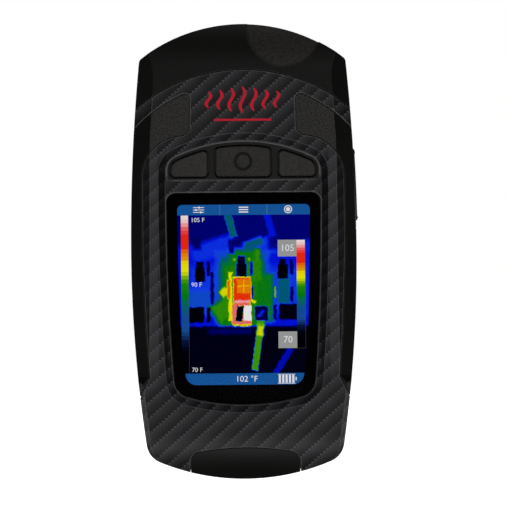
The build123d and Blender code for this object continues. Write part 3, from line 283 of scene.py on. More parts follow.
def heat_mark_paint(tree, base):
    """Red print on the front face: rising heat waves over a level line."""
    pitch, centre, sway, soft_edge = 3.1 * MM, 41.4 * MM, 0.62 * MM, 0.08 * MM
    middle_half, step_down, last_rank = 3.6 * MM, -0.45 * MM, 3.5
    tip_half_stroke, belly = 0.2 * MM, 0.32 * MM
    line_drop, line_half_height, line_half_width = 5.5 * MM, 0.34 * MM, 7.8 * MM
    front_limit = FRONT_Y + 0.3 * MM
    x, y, z = tree.parts(tree.place())
    wave = tree.math("ROUND", tree.math("DIVIDE", x, pitch))
    rank = tree.math("ABSOLUTE", wave)
    half_height = tree.math("MULTIPLY_ADD", rank, step_down, middle_half)
    share = tree.math("DIVIDE", tree.math("SUBTRACT", z, centre), half_height)
    swing = tree.math("MULTIPLY", tree.math("SINE", tree.math("MULTIPLY", share, math.pi)), sway)
    from_wave = tree.math("SUBTRACT", x, tree.math("MULTIPLY", wave, pitch))
    off = tree.math("ABSOLUTE", tree.math("SUBTRACT", from_wave, swing))
    reach = tree.math("ABSOLUTE", share)
    taper = tree.math("SUBTRACT", 1.0, tree.math("POWER", reach, 4.0), clamp=True)
    half_stroke = tree.math("MULTIPLY_ADD", taper, belly, tip_half_stroke)
    waves = tree.product(
        tree.passed(half_stroke, off, soft_edge),
        tree.math("LESS_THAN", reach, 1.0),
        tree.math("LESS_THAN", rank, last_rank),
    )
    line_off = tree.math("ABSOLUTE", tree.math("SUBTRACT", z, centre - line_drop))
    line_z = tree.math("SUBTRACT", line_half_height, line_off)
    line_x = tree.math("SUBTRACT", line_half_width, tree.math("ABSOLUTE", x))
    line = tree.math("DIVIDE", tree.math("MINIMUM", line_z, line_x), soft_edge, clamp=True)
    front = tree.math("LESS_THAN", y, front_limit)
    share = tree.math("MULTIPLY", tree.math("MAXIMUM", waves, line), front)
    return tree.mix(share, base, colour(236, 22, 56))


def front_shade_highlight_and_print(tree, base):
    """Painted shade on the slopes and a painted highlight on the flat rim beside the window, then the red
    print.
    """
    flat_limit, beside_from, rim_from = -0.975, 20.6 * MM, 23.4 * MM
    middle_z, half_height, fade_height = -2.0 * MM, 36.0 * MM, 9.0 * MM
    slope_shade_share, rim_highlight_share = 0.7, 0.28
    x, _, z = tree.parts(tree.place())
    _, normal_y, _ = tree.parts(tree.flat_normal())
    flat = tree.passed(flat_limit, normal_y, 0.02)
    away = tree.math("ABSOLUTE", x)
    beside = tree.passed(away, beside_from, 0.6 * MM)
    height = tree.math("ABSOLUTE", tree.math("SUBTRACT", z, middle_z))
    level = tree.passed(half_height, height, fade_height)
    outside = tree.math("SUBTRACT", 1.0, tree.math("LESS_THAN", away, rim_from))
    slope = tree.math("SUBTRACT", 1.0, flat)
    # Painted shade on the tilted slopes beside the window.
    base = tree.mix(tree.product(slope, level, beside, slope_shade_share), base, colour(3, 3, 3))
    # Painted highlight on the flat rim outside the slopes.
    base = tree.mix(tree.product(flat, level, outside, beside, rim_highlight_share), base, colour(92, 90, 94))
    return heat_mark_paint(tree, base)


def carbon_twill(name, paint=None):
    """Three-over-three twill: each upright float is bright at its top and fades down to the next."""
    tow, rise, repeat = 0.813 * MM, 0.72 * MM, 6.0
    side_facing, end_facing = 0.72, 0.8
    tip_share, edge_share, edge_radius = 0.16, 0.85, 0.4 * MM
    made, tree, shader = material(name, Specular_IOR_Level=0.2, Coat_Weight=0.05, Coat_Roughness=0.35)
    place = tree.place()
    x, y, z = tree.parts(place)
    normal_x, _, normal_z = tree.parts(tree.flat_normal())
    on_side = tree.math("GREATER_THAN", tree.math("ABSOLUTE", normal_x), side_facing)
    on_end = tree.math("GREATER_THAN", tree.math("ABSOLUTE", normal_z), end_facing)
    along_side = tree.math("MULTIPLY", y, tree.math("SIGN", normal_x))
    across = tree.add("ShaderNodeMix", {0: on_side, 2: x, 3: along_side}).outputs[0]
    across = tree.math("DIVIDE", across, tow)
    along = tree.math("DIVIDE", tree.add("ShaderNodeMix", {0: on_end, 2: z, 3: y}).outputs[0], rise)
    column = tree.math("FLOOR", across)
    fall = tree.math("FRACT", tree.math("DIVIDE", tree.math("SUBTRACT", column, along), repeat))
    side = tree.math("MULTIPLY", tree.math("SUBTRACT", tree.math("FRACT", across), 0.5), 2.0)
    ridge = tree.math("SUBTRACT", 1.0, tree.math("MULTIPLY", side, side))
    fade = tree.math("POWER", tree.math("SUBTRACT", 1.0, fall), 1.4)
    tip = tree.math("SUBTRACT", 1.0, tree.math("DIVIDE", fall, tip_share), clamp=True)
    strands = tree.join(tree.math("MULTIPLY", across, 5.0), 0.0, tree.math("MULTIPLY", along, 0.4))
    fibre = tree.noise(strands, 1.0, 2.0)
    blotch = tree.noise(place, 130.0, 3.0, 0.6)
    light = tree.math("MULTIPLY", fade, tree.math("MULTIPLY_ADD", ridge, 0.14, 0.38))
    light = tree.math("ADD", light, tree.product(tip, ridge, 0.5))
    light = tree.math("MULTIPLY", light, tree.math("MULTIPLY_ADD", fibre, 0.8, 0.6))
    light = tree.math("MULTIPLY", light, tree.math("MULTIPLY_ADD", blotch, 1.0, 0.5), clamp=True)
    base = tree.mix(light, colour(14, 13, 15), colour(90, 87, 92))
    if paint is not None:
        base = paint(tree, base)
    # Painted highlight along the shell's edges.
    rounded, mask = edge_highlight_mask(tree, edge_radius)
    base = tree.mix(tree.math("MULTIPLY", mask, edge_share), base, colour(150, 149, 152))
    tree.put(shader.inputs["Base Color"], base)
    tree.put(shader.inputs["Roughness"], tree.math("MULTIPLY_ADD", fibre, 0.2, 0.4))
    height = tree.math("MULTIPLY", ridge, tree.math("MULTIPLY_ADD", fade, 0.6, 0.4))
    tree.put(shader.inputs["Normal"], tree.bump(height, 0.03 * MM, 0.6, rounded))
    return made


def circuit_board():
    """Green solder mask with copper tracks that show through it."""
    made, tree, shader = material("circuit_board", Roughness=0.35, Specular_IOR_Level=0.5)
    x, _, z = tree.parts(tree.place())
    pattern = {"Vector": tree.join(x, z, 0.0), "Scale": 420.0, "Mortar Size": 0.03}
    tracks = tree.add("ShaderNodeTexBrick", pattern).outputs["Fac"]
    tree.put(shader.inputs["Base Color"], tree.mix(tracks, colour(8, 70, 34), colour(60, 140, 70)))
    tree.put(shader.inputs["Normal"], tree.bump(tracks, 0.03 * MM, 0.5))
    return made


def brushed(name, tone, rough, metallic=1.0):
    """Metal with fine lines along X and a little unevenness."""
    made, tree, shader = material(name, Metallic=metallic)
    stretched = tree.vector("MULTIPLY", tree.place(), (300.0, 9000.0, 9000.0))
    lines = tree.noise(stretched, 1.0, 2.0)
    dark = tuple(0.75 * part for part in tone[:3]) + (1.0,)
    tree.put(shader.inputs["Base Color"], tree.mix(lines, dark, tone))
    tree.put(shader.inputs["Roughness"], tree.math("MULTIPLY_ADD", lines, 0.15, rough))
    tree.put(shader.inputs["Normal"], tree.bump(lines, 0.01 * MM, 0.4))
    return made


UNLIT = {"Roughness": 0.5, "Specular_IOR_Level": 0.0}  # shows its own light and no reflection


def lit(name, base):
    """Evenly lit print on the screen."""
    made, tree, shader = material(name, (0.0, 0.0, 0.0, 1.0), **UNLIT)
    grain = tree.noise(tree.place(), 2500.0, 1.0)
    dim = tuple(0.9 * part for part in base[:3]) + (1.0,)
    tree.put(shader.inputs["Emission Color"], tree.mix(grain, dim, base))
    shader.inputs["Emission Strength"].default_value = 1.0
    return made


# ---------------------------------------------------------------- thermal picture
PALETTE = (
    (0.0, colour(0, 0, 0)),
    (0.10, colour(0, 0, 30)),
    (0.20, colour(0, 0, 120)),
    (0.30, colour(0, 20, 240)),
    (0.36, colour(20, 70, 250)),
    (0.42, colour(0, 95, 125)),
    (0.50, colour(0, 130, 10)),
    (0.60, colour(90, 190, 0)),
    (0.68, colour(250, 250, 0)),
    (0.76, colour(250, 140, 0)),
    (0.85, colour(250, 25, 5)),
    (0.94, colour(255, 150, 150)),
    (1.0, colour(255, 255, 255)),
)

SCALE_COLOURS = (
    (0.0, colour(0, 0, 0)),
    (0.137, colour(0, 0, 12)),
    (0.20, colour(8, 25, 70)),
    (0.267, colour(25, 85, 165)),
    (0.34, colour(20, 80, 160)),
    (0.413, colour(10, 105, 110)),
    (0.476, colour(0, 130, 20)),
    (0.565, colour(30, 150, 0)),
    (0.60, colour(140, 200, 0)),
    (0.635, colour(250, 250, 0)),
    (0.69, colour(250, 230, 0)),
    (0.715, colour(240, 165, 0)),
    (0.75, colour(245, 130, 0)),
    (0.785, colour(250, 45, 5)),
    (0.87, colour(252, 40, 20)),
    (0.91, colour(255, 110, 110)),
    (0.955, colour(255, 215, 215)),
    (1.0, colour(255, 255, 255)),
)

# Warm and cold areas of the scene on the screen, each painted over the ones before. Lengths are
# in mm, and centres are measured from the LCD's middle:
# centre x, centre z, half width, half height, turn in degrees, softness, level.
SCENE_PATCHES = (
    # surroundings
    (0.0, 8.0, 22.0, 20.5, 0, 6.0, 0.29),
    (0.0, 24.0, 22.0, 7.5, 0, 2.0, 0.20),
    (-8.5, 15.6, 6.0, 2.4, 18, 1.5, 0.33),
    (4.0, 15.4, 4.5, 2.6, 18, 1.0, 0.33),
    (14.5, 15.4, 5.0, 1.6, 14, 1.2, 0.31),
    (1.0, 4.0, 16.0, 6.5, 0, 3.0, 0.34),
    (-12.0, 0.8, 4.0, 3.5, 0, 2.0, 0.38),
    # warm plate
    (-0.6, 5.0, 6.6, 9.0, 0, 3.0, 0.43),
    (2.6, 16.9, 2.6, 1.2, 20, 0.8, 0.42),
    (-0.5, 12.3, 3.8, 2.8, 0, 1.6, 0.50),
    (3.6, 12.2, 0.9, 3.2, 0, 0.9, 0.53),
    (-2.7, 12.4, 0.35, 0.35, 0, 0.3, 0.62),
    (1.3, 12.5, 0.35, 0.4, 0, 0.3, 0.62),
    (-0.6, 3.0, 5.6, 8.4, 0, 2.0, 0.51),
    (-5.5, -1.5, 3.2, 3.0, 30, 1.5, 0.53),
    (5.6, 2.0, 2.2, 6.4, 0, 1.4, 0.50),
    (10.7, 4.3, 1.7, 4.1, 0, 0.6, 0.42),
    (3.4, 9.3, 1.2, 2.8, 0, 0.8, 0.52),
    (-0.4, -4.7, 5.4, 1.0, 0, 1.0, 0.50),
    (8.4, 3.5, 0.25, 1.5, 0, 0.3, 0.62),
    # cables
    (-3.7, 21.9, 1.0, 3.4, 16, 0.25, 0.43),
    (7.0, 22.0, 0.95, 3.5, 16, 0.4, 0.29),
    (10.4, -15.0, 0.95, 4.6, -32, 0.5, 0.25),
    (3.5, -11.0, 0.95, 7.0, -8, 0.3, 0.55),
    (4.3, -7.4, 0.9, 2.2, -8, 0.8, 0.66),
    # cold blocks
    (-2.6, 17.0, 1.7, 0.9, 0, 0.6, 0.19),
    (-3.5, 15.4, 0.7, 1.2, 0, 0.6, 0.20),
    (7.9, 17.0, 1.2, 1.6, 0, 1.0, 0.21),
    (-13.0, 17.0, 1.0, 1.6, 0, 1.2, 0.17),
    (-0.8, 12.0, 1.0, 1.4, 0, 0.4, 0.10),
    (-0.8, 9.4, 1.35, 1.8, 0, 0.4, 0.04),
    (1.9, 10.0, 0.35, 1.8, 0, 0.3, 0.22),
    (1.9, 3.3, 0.45, 1.9, 0, 0.3, 0.20),
    (-12.2, 9.4, 0.95, 2.5, 0, 0.4, 0.06),
    (-12.2, 8.3, 1.25, 1.8, 0, 0.3, 0.01),
    (-9.9, 10.0, 0.4, 1.9, 0, 0.4, 0.12),
    (-8.9, 4.6, 0.4, 4.4, 0, 0.4, 0.14),
    (10.5, 10.9, 0.8, 1.6, 0, 0.4, 0.06),
    (10.5, 9.1, 1.35, 1.9, 0, 0.3, 0.01),
    (12.9, 10.3, 0.4, 2.0, 0, 0.4, 0.14),
    (12.9, 2.9, 0.35, 2.0, 0, 0.4, 0.12),
    (-13.2, -2.6, 2.0, 2.1, 0, 0.4, 0.02),
    (-9.9, -2.6, 0.5, 2.0, 0, 0.3, 0.05),
    (11.9, -1.9, 2.4, 2.1, 0, 0.5, 0.04),
    (8.3, -2.0, 0.4, 1.9, 0, 0.3, 0.18),
    (4.6, -2.3, 1.75, 1.9, 0, 0.3, 0.12),
    (4.5, -2.3, 0.5, 1.2, -40, 0.6, 0.32),
    # hot block
    (-3.9, 2.4, 0.5, 6.8, 0, 0.3, 0.68),
    (-5.6, 3.6, 1.2, 1.1, 40, 0.6, 0.66),
    (-4.4, 4.4, 0.42, 2.5, 0, 0.4, 0.80),
    (-0.7, 4.4, 2.5, 3.5, 0, 0.15, 0.68),
    (-0.7, 0.6, 2.3, 6.9, 0, 0.2, 0.84),
    (-0.2, 5.2, 1.8, 1.9, 0, 0.4, 0.77),
    (-0.2, 5.2, 0.12, 1.7, 0, 0.1, 0.71),
    (-0.2, 5.2, 1.6, 0.12, 0, 0.1, 0.71),
    (-0.7, 0.9, 2.3, 0.5, 0, 0.5, 0.95),
    (-0.9, -2.6, 2.7, 2.9, 0, 0.15, 0.68),
    (-0.9, -2.5, 2.5, 2.7, 0, 0.15, 0.90),
    (-1.4, -2.3, 0.95, 2.1, -6, 0.2, 0.02),
    (0.75, -2.2, 1.1, 2.1, 0, 0.2, 1.0),
    (2.4, 1.1, 0.8, 0.4, -35, 0.4, 0.68),
    # floor of the scene
    (0.0, -14.5, 22.0, 8.6, 0, 0.8, 0.06),
    (-4.0, -7.2, 6.0, 0.7, 0, 1.5, 0.20),
    (3.5, -11.6, 0.95, 6.4, -8, 0.3, 0.55),
    (4.25, -7.0, 0.9, 1.5, -8, 0.8, 0.66),
    (10.4, -15.4, 0.95, 4.2, -32, 0.5, 0.25),
)


def patch_group():
    """Node group that paints one soft-edged turned rectangle over a heat field."""
    group = bpy.data.node_groups.new("heat_patch", "ShaderNodeTree")
    for name, kind in (
        ("Heat", "NodeSocketFloat"),
        ("Place", "NodeSocketVector"),
        ("Centre", "NodeSocketVector"),
        ("Half", "NodeSocketVector"),
        ("Turn", "NodeSocketFloat"),
        ("Softness", "NodeSocketFloat"),
        ("Level", "NodeSocketFloat"),
    ):
        group.interface.new_socket(name, in_out="INPUT", socket_type=kind)
    group.interface.new_socket("Heat", in_out="OUTPUT", socket_type="NodeSocketFloat")
    tree = Tree(group)
    given = tree.add("NodeGroupInput").outputs
    turned = tree.add(
        "ShaderNodeVectorRotate",
        {"Vector": given["Place"], "Center": given["Centre"], "Angle": given["Turn"]},
        rotation_type="Y_AXIS",
    ).outputs[0]
    away = tree.vector("ABSOLUTE", tree.vector("SUBTRACT", turned, given["Centre"]))
    reach = tree.vector("SUBTRACT", away, given["Half"])
    x, _, z = tree.parts(reach)
    outside = tree.math("DIVIDE", tree.math("MAXIMUM", x, z), given["Softness"])
    cover = tree.math("SUBTRACT", 0.5, outside, clamp=True)
    change = tree.math("MULTIPLY", cover, tree.math("SUBTRACT", given["Level"], given["Heat"]))
    result = tree.add("NodeGroupOutput")
    tree.put(result.inputs[0], tree.math("ADD", given["Heat"], change))
    return group


def thermal_picture():
    """Lit heat picture: patches of heat, blurred edges, sensor pixels and a rainbow palette."""
    made, tree, shader = material("thermal_picture", (0.0, 0.0, 0.0, 1.0), **UNLIT)
    centre = middle("lcd_panel")
    pixel, edge_wobble, dead_level = 0.22, 0.9, 0.08
    place = tree.vector("SCALE", tree.vector("SUBTRACT", tree.place(), tuple(centre)))
    place.node.inputs["Scale"].default_value = 1 / MM
    place = tree.vector("SNAP", place, (pixel, pixel, pixel))
    wobble = tree.add("ShaderNodeTexNoise", {"Vector": place, "Scale": 0.8, "Detail": 2.0}).outputs["Color"]
    push = tree.vector("SCALE", tree.vector("SUBTRACT", wobble, (0.5, 0.5, 0.5)))
    push.node.inputs["Scale"].default_value = edge_wobble
    place = tree.vector("ADD", place, push)
    group = patch_group()
    heat = 0.10
    for x, z, half_x, half_z, turn, softness, level in SCENE_PATCHES:
        node = tree.add("ShaderNodeGroup", node_tree=group)
        values = (heat, place, (x, 0, z), (half_x, 1, half_z), math.radians(turn), softness, level)
        for socket, value in zip(node.inputs, values):
            tree.put(socket, value)
        heat = node.outputs[0]
    speckle = tree.math("MULTIPLY_ADD", tree.noise(place, 3.0, 1.0), 0.06, -0.03)
    alive = tree.math("GREATER_THAN", heat, dead_level)
    heat = tree.math("ADD", heat, tree.math("MULTIPLY", speckle, alive))
    tree.put(shader.inputs["Emission Color"], tree.ramp(heat, PALETTE))
    shader.inputs["Emission Strength"].default_value = 1.0
    return made


def scale_strip(name, bottom, top):
    """Palette from black at height bottom to white at height top."""
    made, tree, shader = material(name, (0.0, 0.0, 0.0, 1.0), **UNLIT)
    _, _, z = tree.parts(tree.place())
    share = tree.math("DIVIDE", tree.math("SUBTRACT", z, bottom), top - bottom)
    steps = 42.0
    share = tree.math("DIVIDE", tree.math("FLOOR", tree.math("MULTIPLY", share, steps)), steps)
    tree.put(shader.inputs["Emission Color"], tree.ramp(share, SCALE_COLOURS))
    shader.inputs["Emission Strength"].default_value = 1.0
    return made


# ---------------------------------------------------------------- materials
TWILL = carbon_twill("carbon_twill")
PRINTED_TWILL = carbon_twill("printed_twill", front_shade_highlight_and_print)
# Tone of the painted highlight along the edges of rubber and plate parts.
EDGE_HIGHLIGHT = colour(74, 73, 70)
RUBBER_TONES = (colour(11, 10, 9), colour(20, 19, 17), 2600.0, 0.05 * MM, 0.46)
RUBBER = grained("rubber_skin", *RUBBER_TONES, EDGE_HIGHLIGHT, Specular_IOR_Level=0.16)
GRIP_RUBBER = grained("grip_rubber", *RUBBER_TONES, EDGE_HIGHLIGHT, grip_pad_sheen_paint, Specular_IOR_Level=0.12)
CAP_RUBBER = grained("cap_rubber", *RUBBER_TONES, EDGE_HIGHLIGHT, thumb_pad_paint, Specular_IOR_Level=0.16)
# The port door's edges carry a brighter painted highlight.
DOOR_RUBBER = grained("door_rubber", *RUBBER_TONES, colour(120, 119, 117), Specular_IOR_Level=0.16)
KEY_TONES = (colour(36, 35, 33), colour(66, 64, 61), 2400.0, 0.05 * MM, 0.5)
KEY_RUBBER = grained("key_rubber", *KEY_TONES, Specular_IOR_Level=0.26)
RING_KEY_RUBBER = grained("ring_key_rubber", *KEY_TONES, None, ring_groove_shade_paint, Specular_IOR_Level=0.2)
PANEL_TONES = (colour(9, 8, 8), colour(18, 17, 16), 1800.0, 0.02 * MM, 0.48)
PANEL = grained("panel_plastic", *PANEL_TONES, None, panel_rim_highlight_paint, Specular_IOR_Level=0.24)
PLATE = grained("plate_plastic", *PANEL_TONES, EDGE_HIGHLIGHT, Specular_IOR_Level=0.24)
SEAL = grained("seal_rubber", colour(24, 24, 26), colour(40, 40, 44), 1800.0, 0.03 * MM, 0.5)
MOULDED = grained("moulded_black", colour(20, 20, 20), colour(34, 34, 34), 2000.0, 0.02 * MM, 0.5)
CARD = grained("card_plastic", colour(16, 16, 18), colour(30, 30, 33), 2400.0, 0.01 * MM, 0.35)
BOARD = circuit_board()
STEEL = brushed("plain_steel", (0.55, 0.55, 0.56, 1.0), 0.28)
ALUMINIUM = brushed("plain_aluminium", (0.72, 0.72, 0.74, 1.0), 0.3)
BLACK_METAL = brushed("black_anodised", (0.028, 0.028, 0.032, 1.0), 0.32)
BRASS = brushed("plain_brass", (0.7, 0.5, 0.2, 1.0), 0.3)
FLEX = grained("flex_film", colour(170, 95, 25), colour(205, 125, 40), 900.0, 0.01 * MM, 0.3)
FOIL_TONES = (colour(150, 154, 162), colour(178, 182, 190), 500.0, 0.04 * MM, 0.35)
FOIL = grained("battery_foil", *FOIL_TONES, Metallic=0.6)
WIRE = grained("wire_sleeve", colour(140, 18, 14), colour(175, 28, 22), 1500.0, 0.01 * MM, 0.45)
BLACK, LAMP_TINT = (0.0, 0.0, 0.0, 1.0), (0.6, 0.65, 0.7, 1.0)
CLEAR, _, _ = material("window_glass", BLACK, Roughness=0.02, Alpha=0.12, Specular_IOR_Level=0.8)
LAMP_GLASS, _, _ = material("lamp_glass", LAMP_TINT, Roughness=0.04, Alpha=0.07, Specular_IOR_Level=1.0)
PHOSPHOR = grained("lamp_phosphor", colour(225, 190, 60), colour(245, 215, 90), 1500.0, 0.02 * MM, 0.5)
MIRROR_CUP = brushed("lamp_mirror", (0.85, 0.85, 0.86, 1.0), 0.08)


def lens_coating():
    """Infrared glass: dark mirror with a violet to bronze bloom that follows its curve."""
    constants = {"Metallic": 1.0, "Roughness": 0.12, "Coat_Weight": 0.6, "Coat_Roughness": 0.05}
    made, tree, shader = material("lens_coating", **constants)
    centre = middle("lens_front_element")
    x, _, z = tree.parts(tree.vector("SUBTRACT", tree.place(), tuple(centre)))
    share = tree.math("DIVIDE", tree.distance(x, z), high("lens_front_element").x - centre.x)
    stops = ((0.0, colour(70, 58, 92)), (0.6, colour(86, 62, 78)), (1.0, colour(50, 40, 44)))
    tree.put(shader.inputs["Base Color"], tree.ramp(share, stops))
    return made


LENS = lens_coating()

FINISHES = {
    PRINTED_TWILL: ("front_shell",),
    TWILL: ("rear_shell",),
    CAP_RUBBER: ("top_bumper",),
    RUBBER: ("bottom_bumper",),
    GRIP_RUBBER: ("grip_left", "grip_right"),
    DOOR_RUBBER: ("port_door",),
    KEY_RUBBER: ("key_left", "key_right"),
    RING_KEY_RUBBER: ("key_centre",),
    PANEL: ("keypad_bezel",),
    PLATE: ("rear_faceplate",),
    CLEAR: ("display_window",),
    LAMP_GLASS: ("lamp_window",),
    SEAL: ("case_seal", "lens_seal", "lcd_gasket", "battery_pad"),
    MOULDED: (
        "board_chips",
        "sensor_package",
        "shutter_actuator",
        "tact_switches",
        "battery_socket",
        "keypad_header",
        "switch_stem_left",
        "switch_stem_centre",
        "switch_stem_right",
        "lcd_panel",
    ),
    CARD: ("memory_card",),
    BOARD: ("main_board", "keypad_board", "sensor_board"),
    STEEL: (
        "lcd_frame",
        "shield_can",
        "usb_socket",
        "card_socket",
        "case_screws",
        "board_screws",
        "door_pin",
        "shutter_flag",
    ),
    ALUMINIUM: ("lamp_heatsink",),
    BLACK_METAL: ("lens_barrel", "lens_spacer", "lens_retaining_ring"),
    BRASS: ("threaded_inserts",),
    FLEX: ("lcd_flex", "sensor_flex"),
    FOIL: ("battery_pack",),
    WIRE: ("battery_lead",),
    LENS: ("lens_front_element", "lens_rear_element"),
    PHOSPHOR: ("lamp_emitter",),
    MIRROR_CUP: ("lamp_reflector",),
}


def finish_node(node, finish):
    """Gives a CAD node its material."""
    slots = NODES[node].material_slots
    if not slots:
        NODES[node].data.materials.append(finish)
    for node_slot in slots:
        node_slot.material = finish


for finish, nodes in FINISHES.items():
    for node in nodes:
        finish_node(node, finish)


# ---------------------------------------------------------------- mesh helpers
LAYER = 0.06 * MM  # thickness of each print on the screen


def mesh_piece(name, points, faces, finish, body="housing"):
    """New piece from points in metres, riding on a body."""
    mesh = bpy.data.meshes.new(name)
    mesh.from_pydata([tuple(point) for point in points], [], faces)
    mesh.update()
    piece = bpy.data.objects.new(name, mesh)
    bpy.context.collection.objects.link(piece)
    mesh.materials.append(finish)
    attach(piece, body)


def prism(name, outline, front_y, finish):
    """One layer of print with an outline of (x, z) points, from front_y back."""
    count = len(outline)
    points = [(x, front_y, z) for x, z in outline] + [(x, front_y + LAYER, z) for x, z in outline]
    faces = [tuple(range(count)), tuple(reversed(range(count, 2 * count)))]
    faces += [(k, k + count, (k + 1) % count + count, (k + 1) % count) for k in range(count)]
    mesh_piece(name, points, faces, finish)


def arc(centre, radius, start, end, count=8):
    """Points on a circle, from one angle in degrees to another."""
    points = []
    for step in range(count + 1):
        turn = math.radians(start + (end - start) * step / count)
        points.append((centre[0] + radius * math.cos(turn), centre[1] + radius * math.sin(turn)))
    return points


def box_outline(left, right, foot, top):
    """Corners of an upright rectangle, anticlockwise from its lower left one."""
    return [(left, foot), (right, foot), (right, top), (left, top)]


def bar_outline(x, z, half_x, half_z):
    """Corners of an upright rectangle round its middle."""
    return box_outline(x - half_x, x + half_x, z - half_z, z + half_z)


# ---------------------------------------------------------------- screen
# The lit field narrows a little towards its foot.
FIELD_TOP, FIELD_FOOT = 12.8 * MM, -36.5 * MM
FIELD_TOP_HALF, FIELD_FOOT_HALF = 18.15 * MM, 16.2 * MM
FIELD_WAIST = -26.5 * MM
FIELD_WAIST_HALF = 17.2 * MM
PRINT_MARGIN = 0.5 * MM  # how far the picture and bars reach behind the window's black print


def field_half(z):
    """Half width of the lit field at height z."""
    bow = 1.6
    if z > FIELD_WAIST:
        share = (FIELD_TOP - z) / (FIELD_TOP - FIELD_WAIST)
        return FIELD_TOP_HALF + (FIELD_WAIST_HALF - FIELD_TOP_HALF) * share**bow
    share = (FIELD_WAIST - z) / (FIELD_WAIST - FIELD_FOOT)
    return FIELD_WAIST_HALF + (FIELD_FOOT_HALF - FIELD_WAIST_HALF) * share


def field_outline(grow=0.0):
    """Outline of the lit field, anticlockwise from its lower left corner."""
    top_r, foot_r, foot_turn, side_steps = 1.4 * MM, 3.0 * MM, -8, 8
    half_top, half_foot = FIELD_TOP_HALF + grow, FIELD_FOOT_HALF + grow
    top, foot = FIELD_TOP + grow, FIELD_FOOT - grow
    right = arc((half_foot - foot_r, foot + foot_r), foot_r, -90, foot_turn)
    for step in range(1, side_steps):
        z = foot + foot_r + (top - top_r - foot - foot_r) * step / side_steps
        right.append((field_half(z) + grow, z))
    right += arc((half_top - top_r, top - top_r), top_r, 0, 90)
    left = [(-x, z) for x, z in reversed(right)]
    return right + left


def window_border():
    """Black print behind the window, open over the lit field."""
    share_x, share_z, gap = 0.99, 0.993, 0.05 * MM
    made, tree, shader = material("window_print", **UNLIT)
    tone = tree.noise(tree.place(), 400.0)
    tree.put(shader.inputs["Base Color"], tree.mix(tone, colour(2, 2, 3), colour(5, 5, 6)))
    centre = middle("display_window")
    rim = {
        (round(vertex.co.x, 6), round(vertex.co.z, 6))
        for vertex in NODES["display_window"].data.vertices
        if abs(vertex.co.y - WINDOW_BACK_Y) < 0.01 * MM
    }
    rim = sorted(rim, key=lambda point: math.atan2(point[1] - centre.z, point[0] - centre.x))
    outer = [(centre.x + (x - centre.x) * share_x, centre.z + (z - centre.z) * share_z) for x, z in rim]
    inner = field_outline()
    y = WINDOW_BACK_Y - gap
    bm = bmesh.new()
    rings = []
    for outline in (outer, inner):
        verts = [bm.verts.new((x, y, z)) for x, z in outline]
        rings += [bm.edges.new(pair) for pair in zip(verts, verts[1:] + verts[:1])]
    bmesh.ops.triangle_fill(bm, use_beauty=True, use_dissolve=False, edges=rings)
    mesh = bpy.data.meshes.new("window_border")
    bm.to_mesh(mesh)
    bm.free()
    piece = bpy.data.objects.new("window_border", mesh)
    bpy.context.collection.objects.link(piece)
    mesh.materials.append(made)
    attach(piece, "housing")


window_border()
prism("thermal_image", field_outline(PRINT_MARGIN), LCD_FRONT_Y - LAYER, thermal_picture())
PRINT_Y = LCD_FRONT_Y - 2 * LAYER
ICON_Y = PRINT_Y - LAYER

BAR_BLUE = lit("bar_blue", colour(24, 94, 168))
WHITE_PRINT = lit("white_print", colour(245, 247, 250))
GREY_BOX = lit("grey_box", colour(168, 168, 168))
BAR_LINE = lit("bar_line", colour(90, 140, 200))
DIM_LINE = lit("dim_line", colour(70, 70, 70))

MENU_FOOT, MENU_CORNERS, STATUS_TOP = 9.95 * MM, 11 * MM, -33.4 * MM
menu_half, status_half = field_half(MENU_FOOT) + PRINT_MARGIN, field_half(STATUS_TOP) + PRINT_MARGIN
outline = [point for point in field_outline(PRINT_MARGIN) if point[1] > MENU_CORNERS]
outline += [(-menu_half, MENU_FOOT), (menu_half, MENU_FOOT)]
prism("menu_bar", outline, PRINT_Y, BAR_BLUE)
foot_points = [point for point in field_outline(PRINT_MARGIN) if point[1] < STATUS_TOP - 0.2 * MM]
outline = [point for point in foot_points if point[0] > 0]
outline += [(status_half, STATUS_TOP), (-status_half, STATUS_TOP)]
outline += [point for point in foot_points if point[0] < 0]
prism("status_bar", outline, PRINT_Y, BAR_BLUE)
for side, x in (("left", -6.5 * MM), ("right", 6.4 * MM)):
    outline = box_outline(x - 0.06 * MM, x + 0.06 * MM, MENU_FOOT, FIELD_TOP)
    prism("menu_divider_" + side, outline, ICON_Y, BAR_LINE)


def strip(name, left, right, foot, top):
    """Palette scale on the screen."""
    prism(name, box_outline(left, right, foot, top), PRINT_Y, scale_strip(name + "_colours", foot, top))


strip("scale_left", -17.2 * MM, -15.2 * MM, -33.3 * MM, 9.9 * MM)
strip("scale_right", 14.4 * MM, 16.7 * MM, -26.6 * MM, 3.0 * MM)
# Thin lines along the scales: left, right, foot and top in mm.
for name, *sides in (
    ("left_side", -15.2, -15.12, -33.3, 9.9),
    ("right_side", 16.7, 16.78, -26.6, 3.0),
    ("right_foot", 14.4, 16.78, -26.68, -26.6),
):
    prism("scale_line_" + name, box_outline(*(side * MM for side in sides)), PRINT_Y, DIM_LINE)
LIMIT_LEFT, LIMIT_RIGHT, LIMIT_HEIGHT = 9.26 * MM, 14.4 * MM, 4.55
for name, foot in (("upper", -1.5), ("lower", -26.6)):
    outline = box_outline(LIMIT_LEFT, LIMIT_RIGHT, foot * MM, (foot + LIMIT_HEIGHT) * MM)
    prism("limit_box_" + name, outline, PRINT_Y, GREY_BOX)


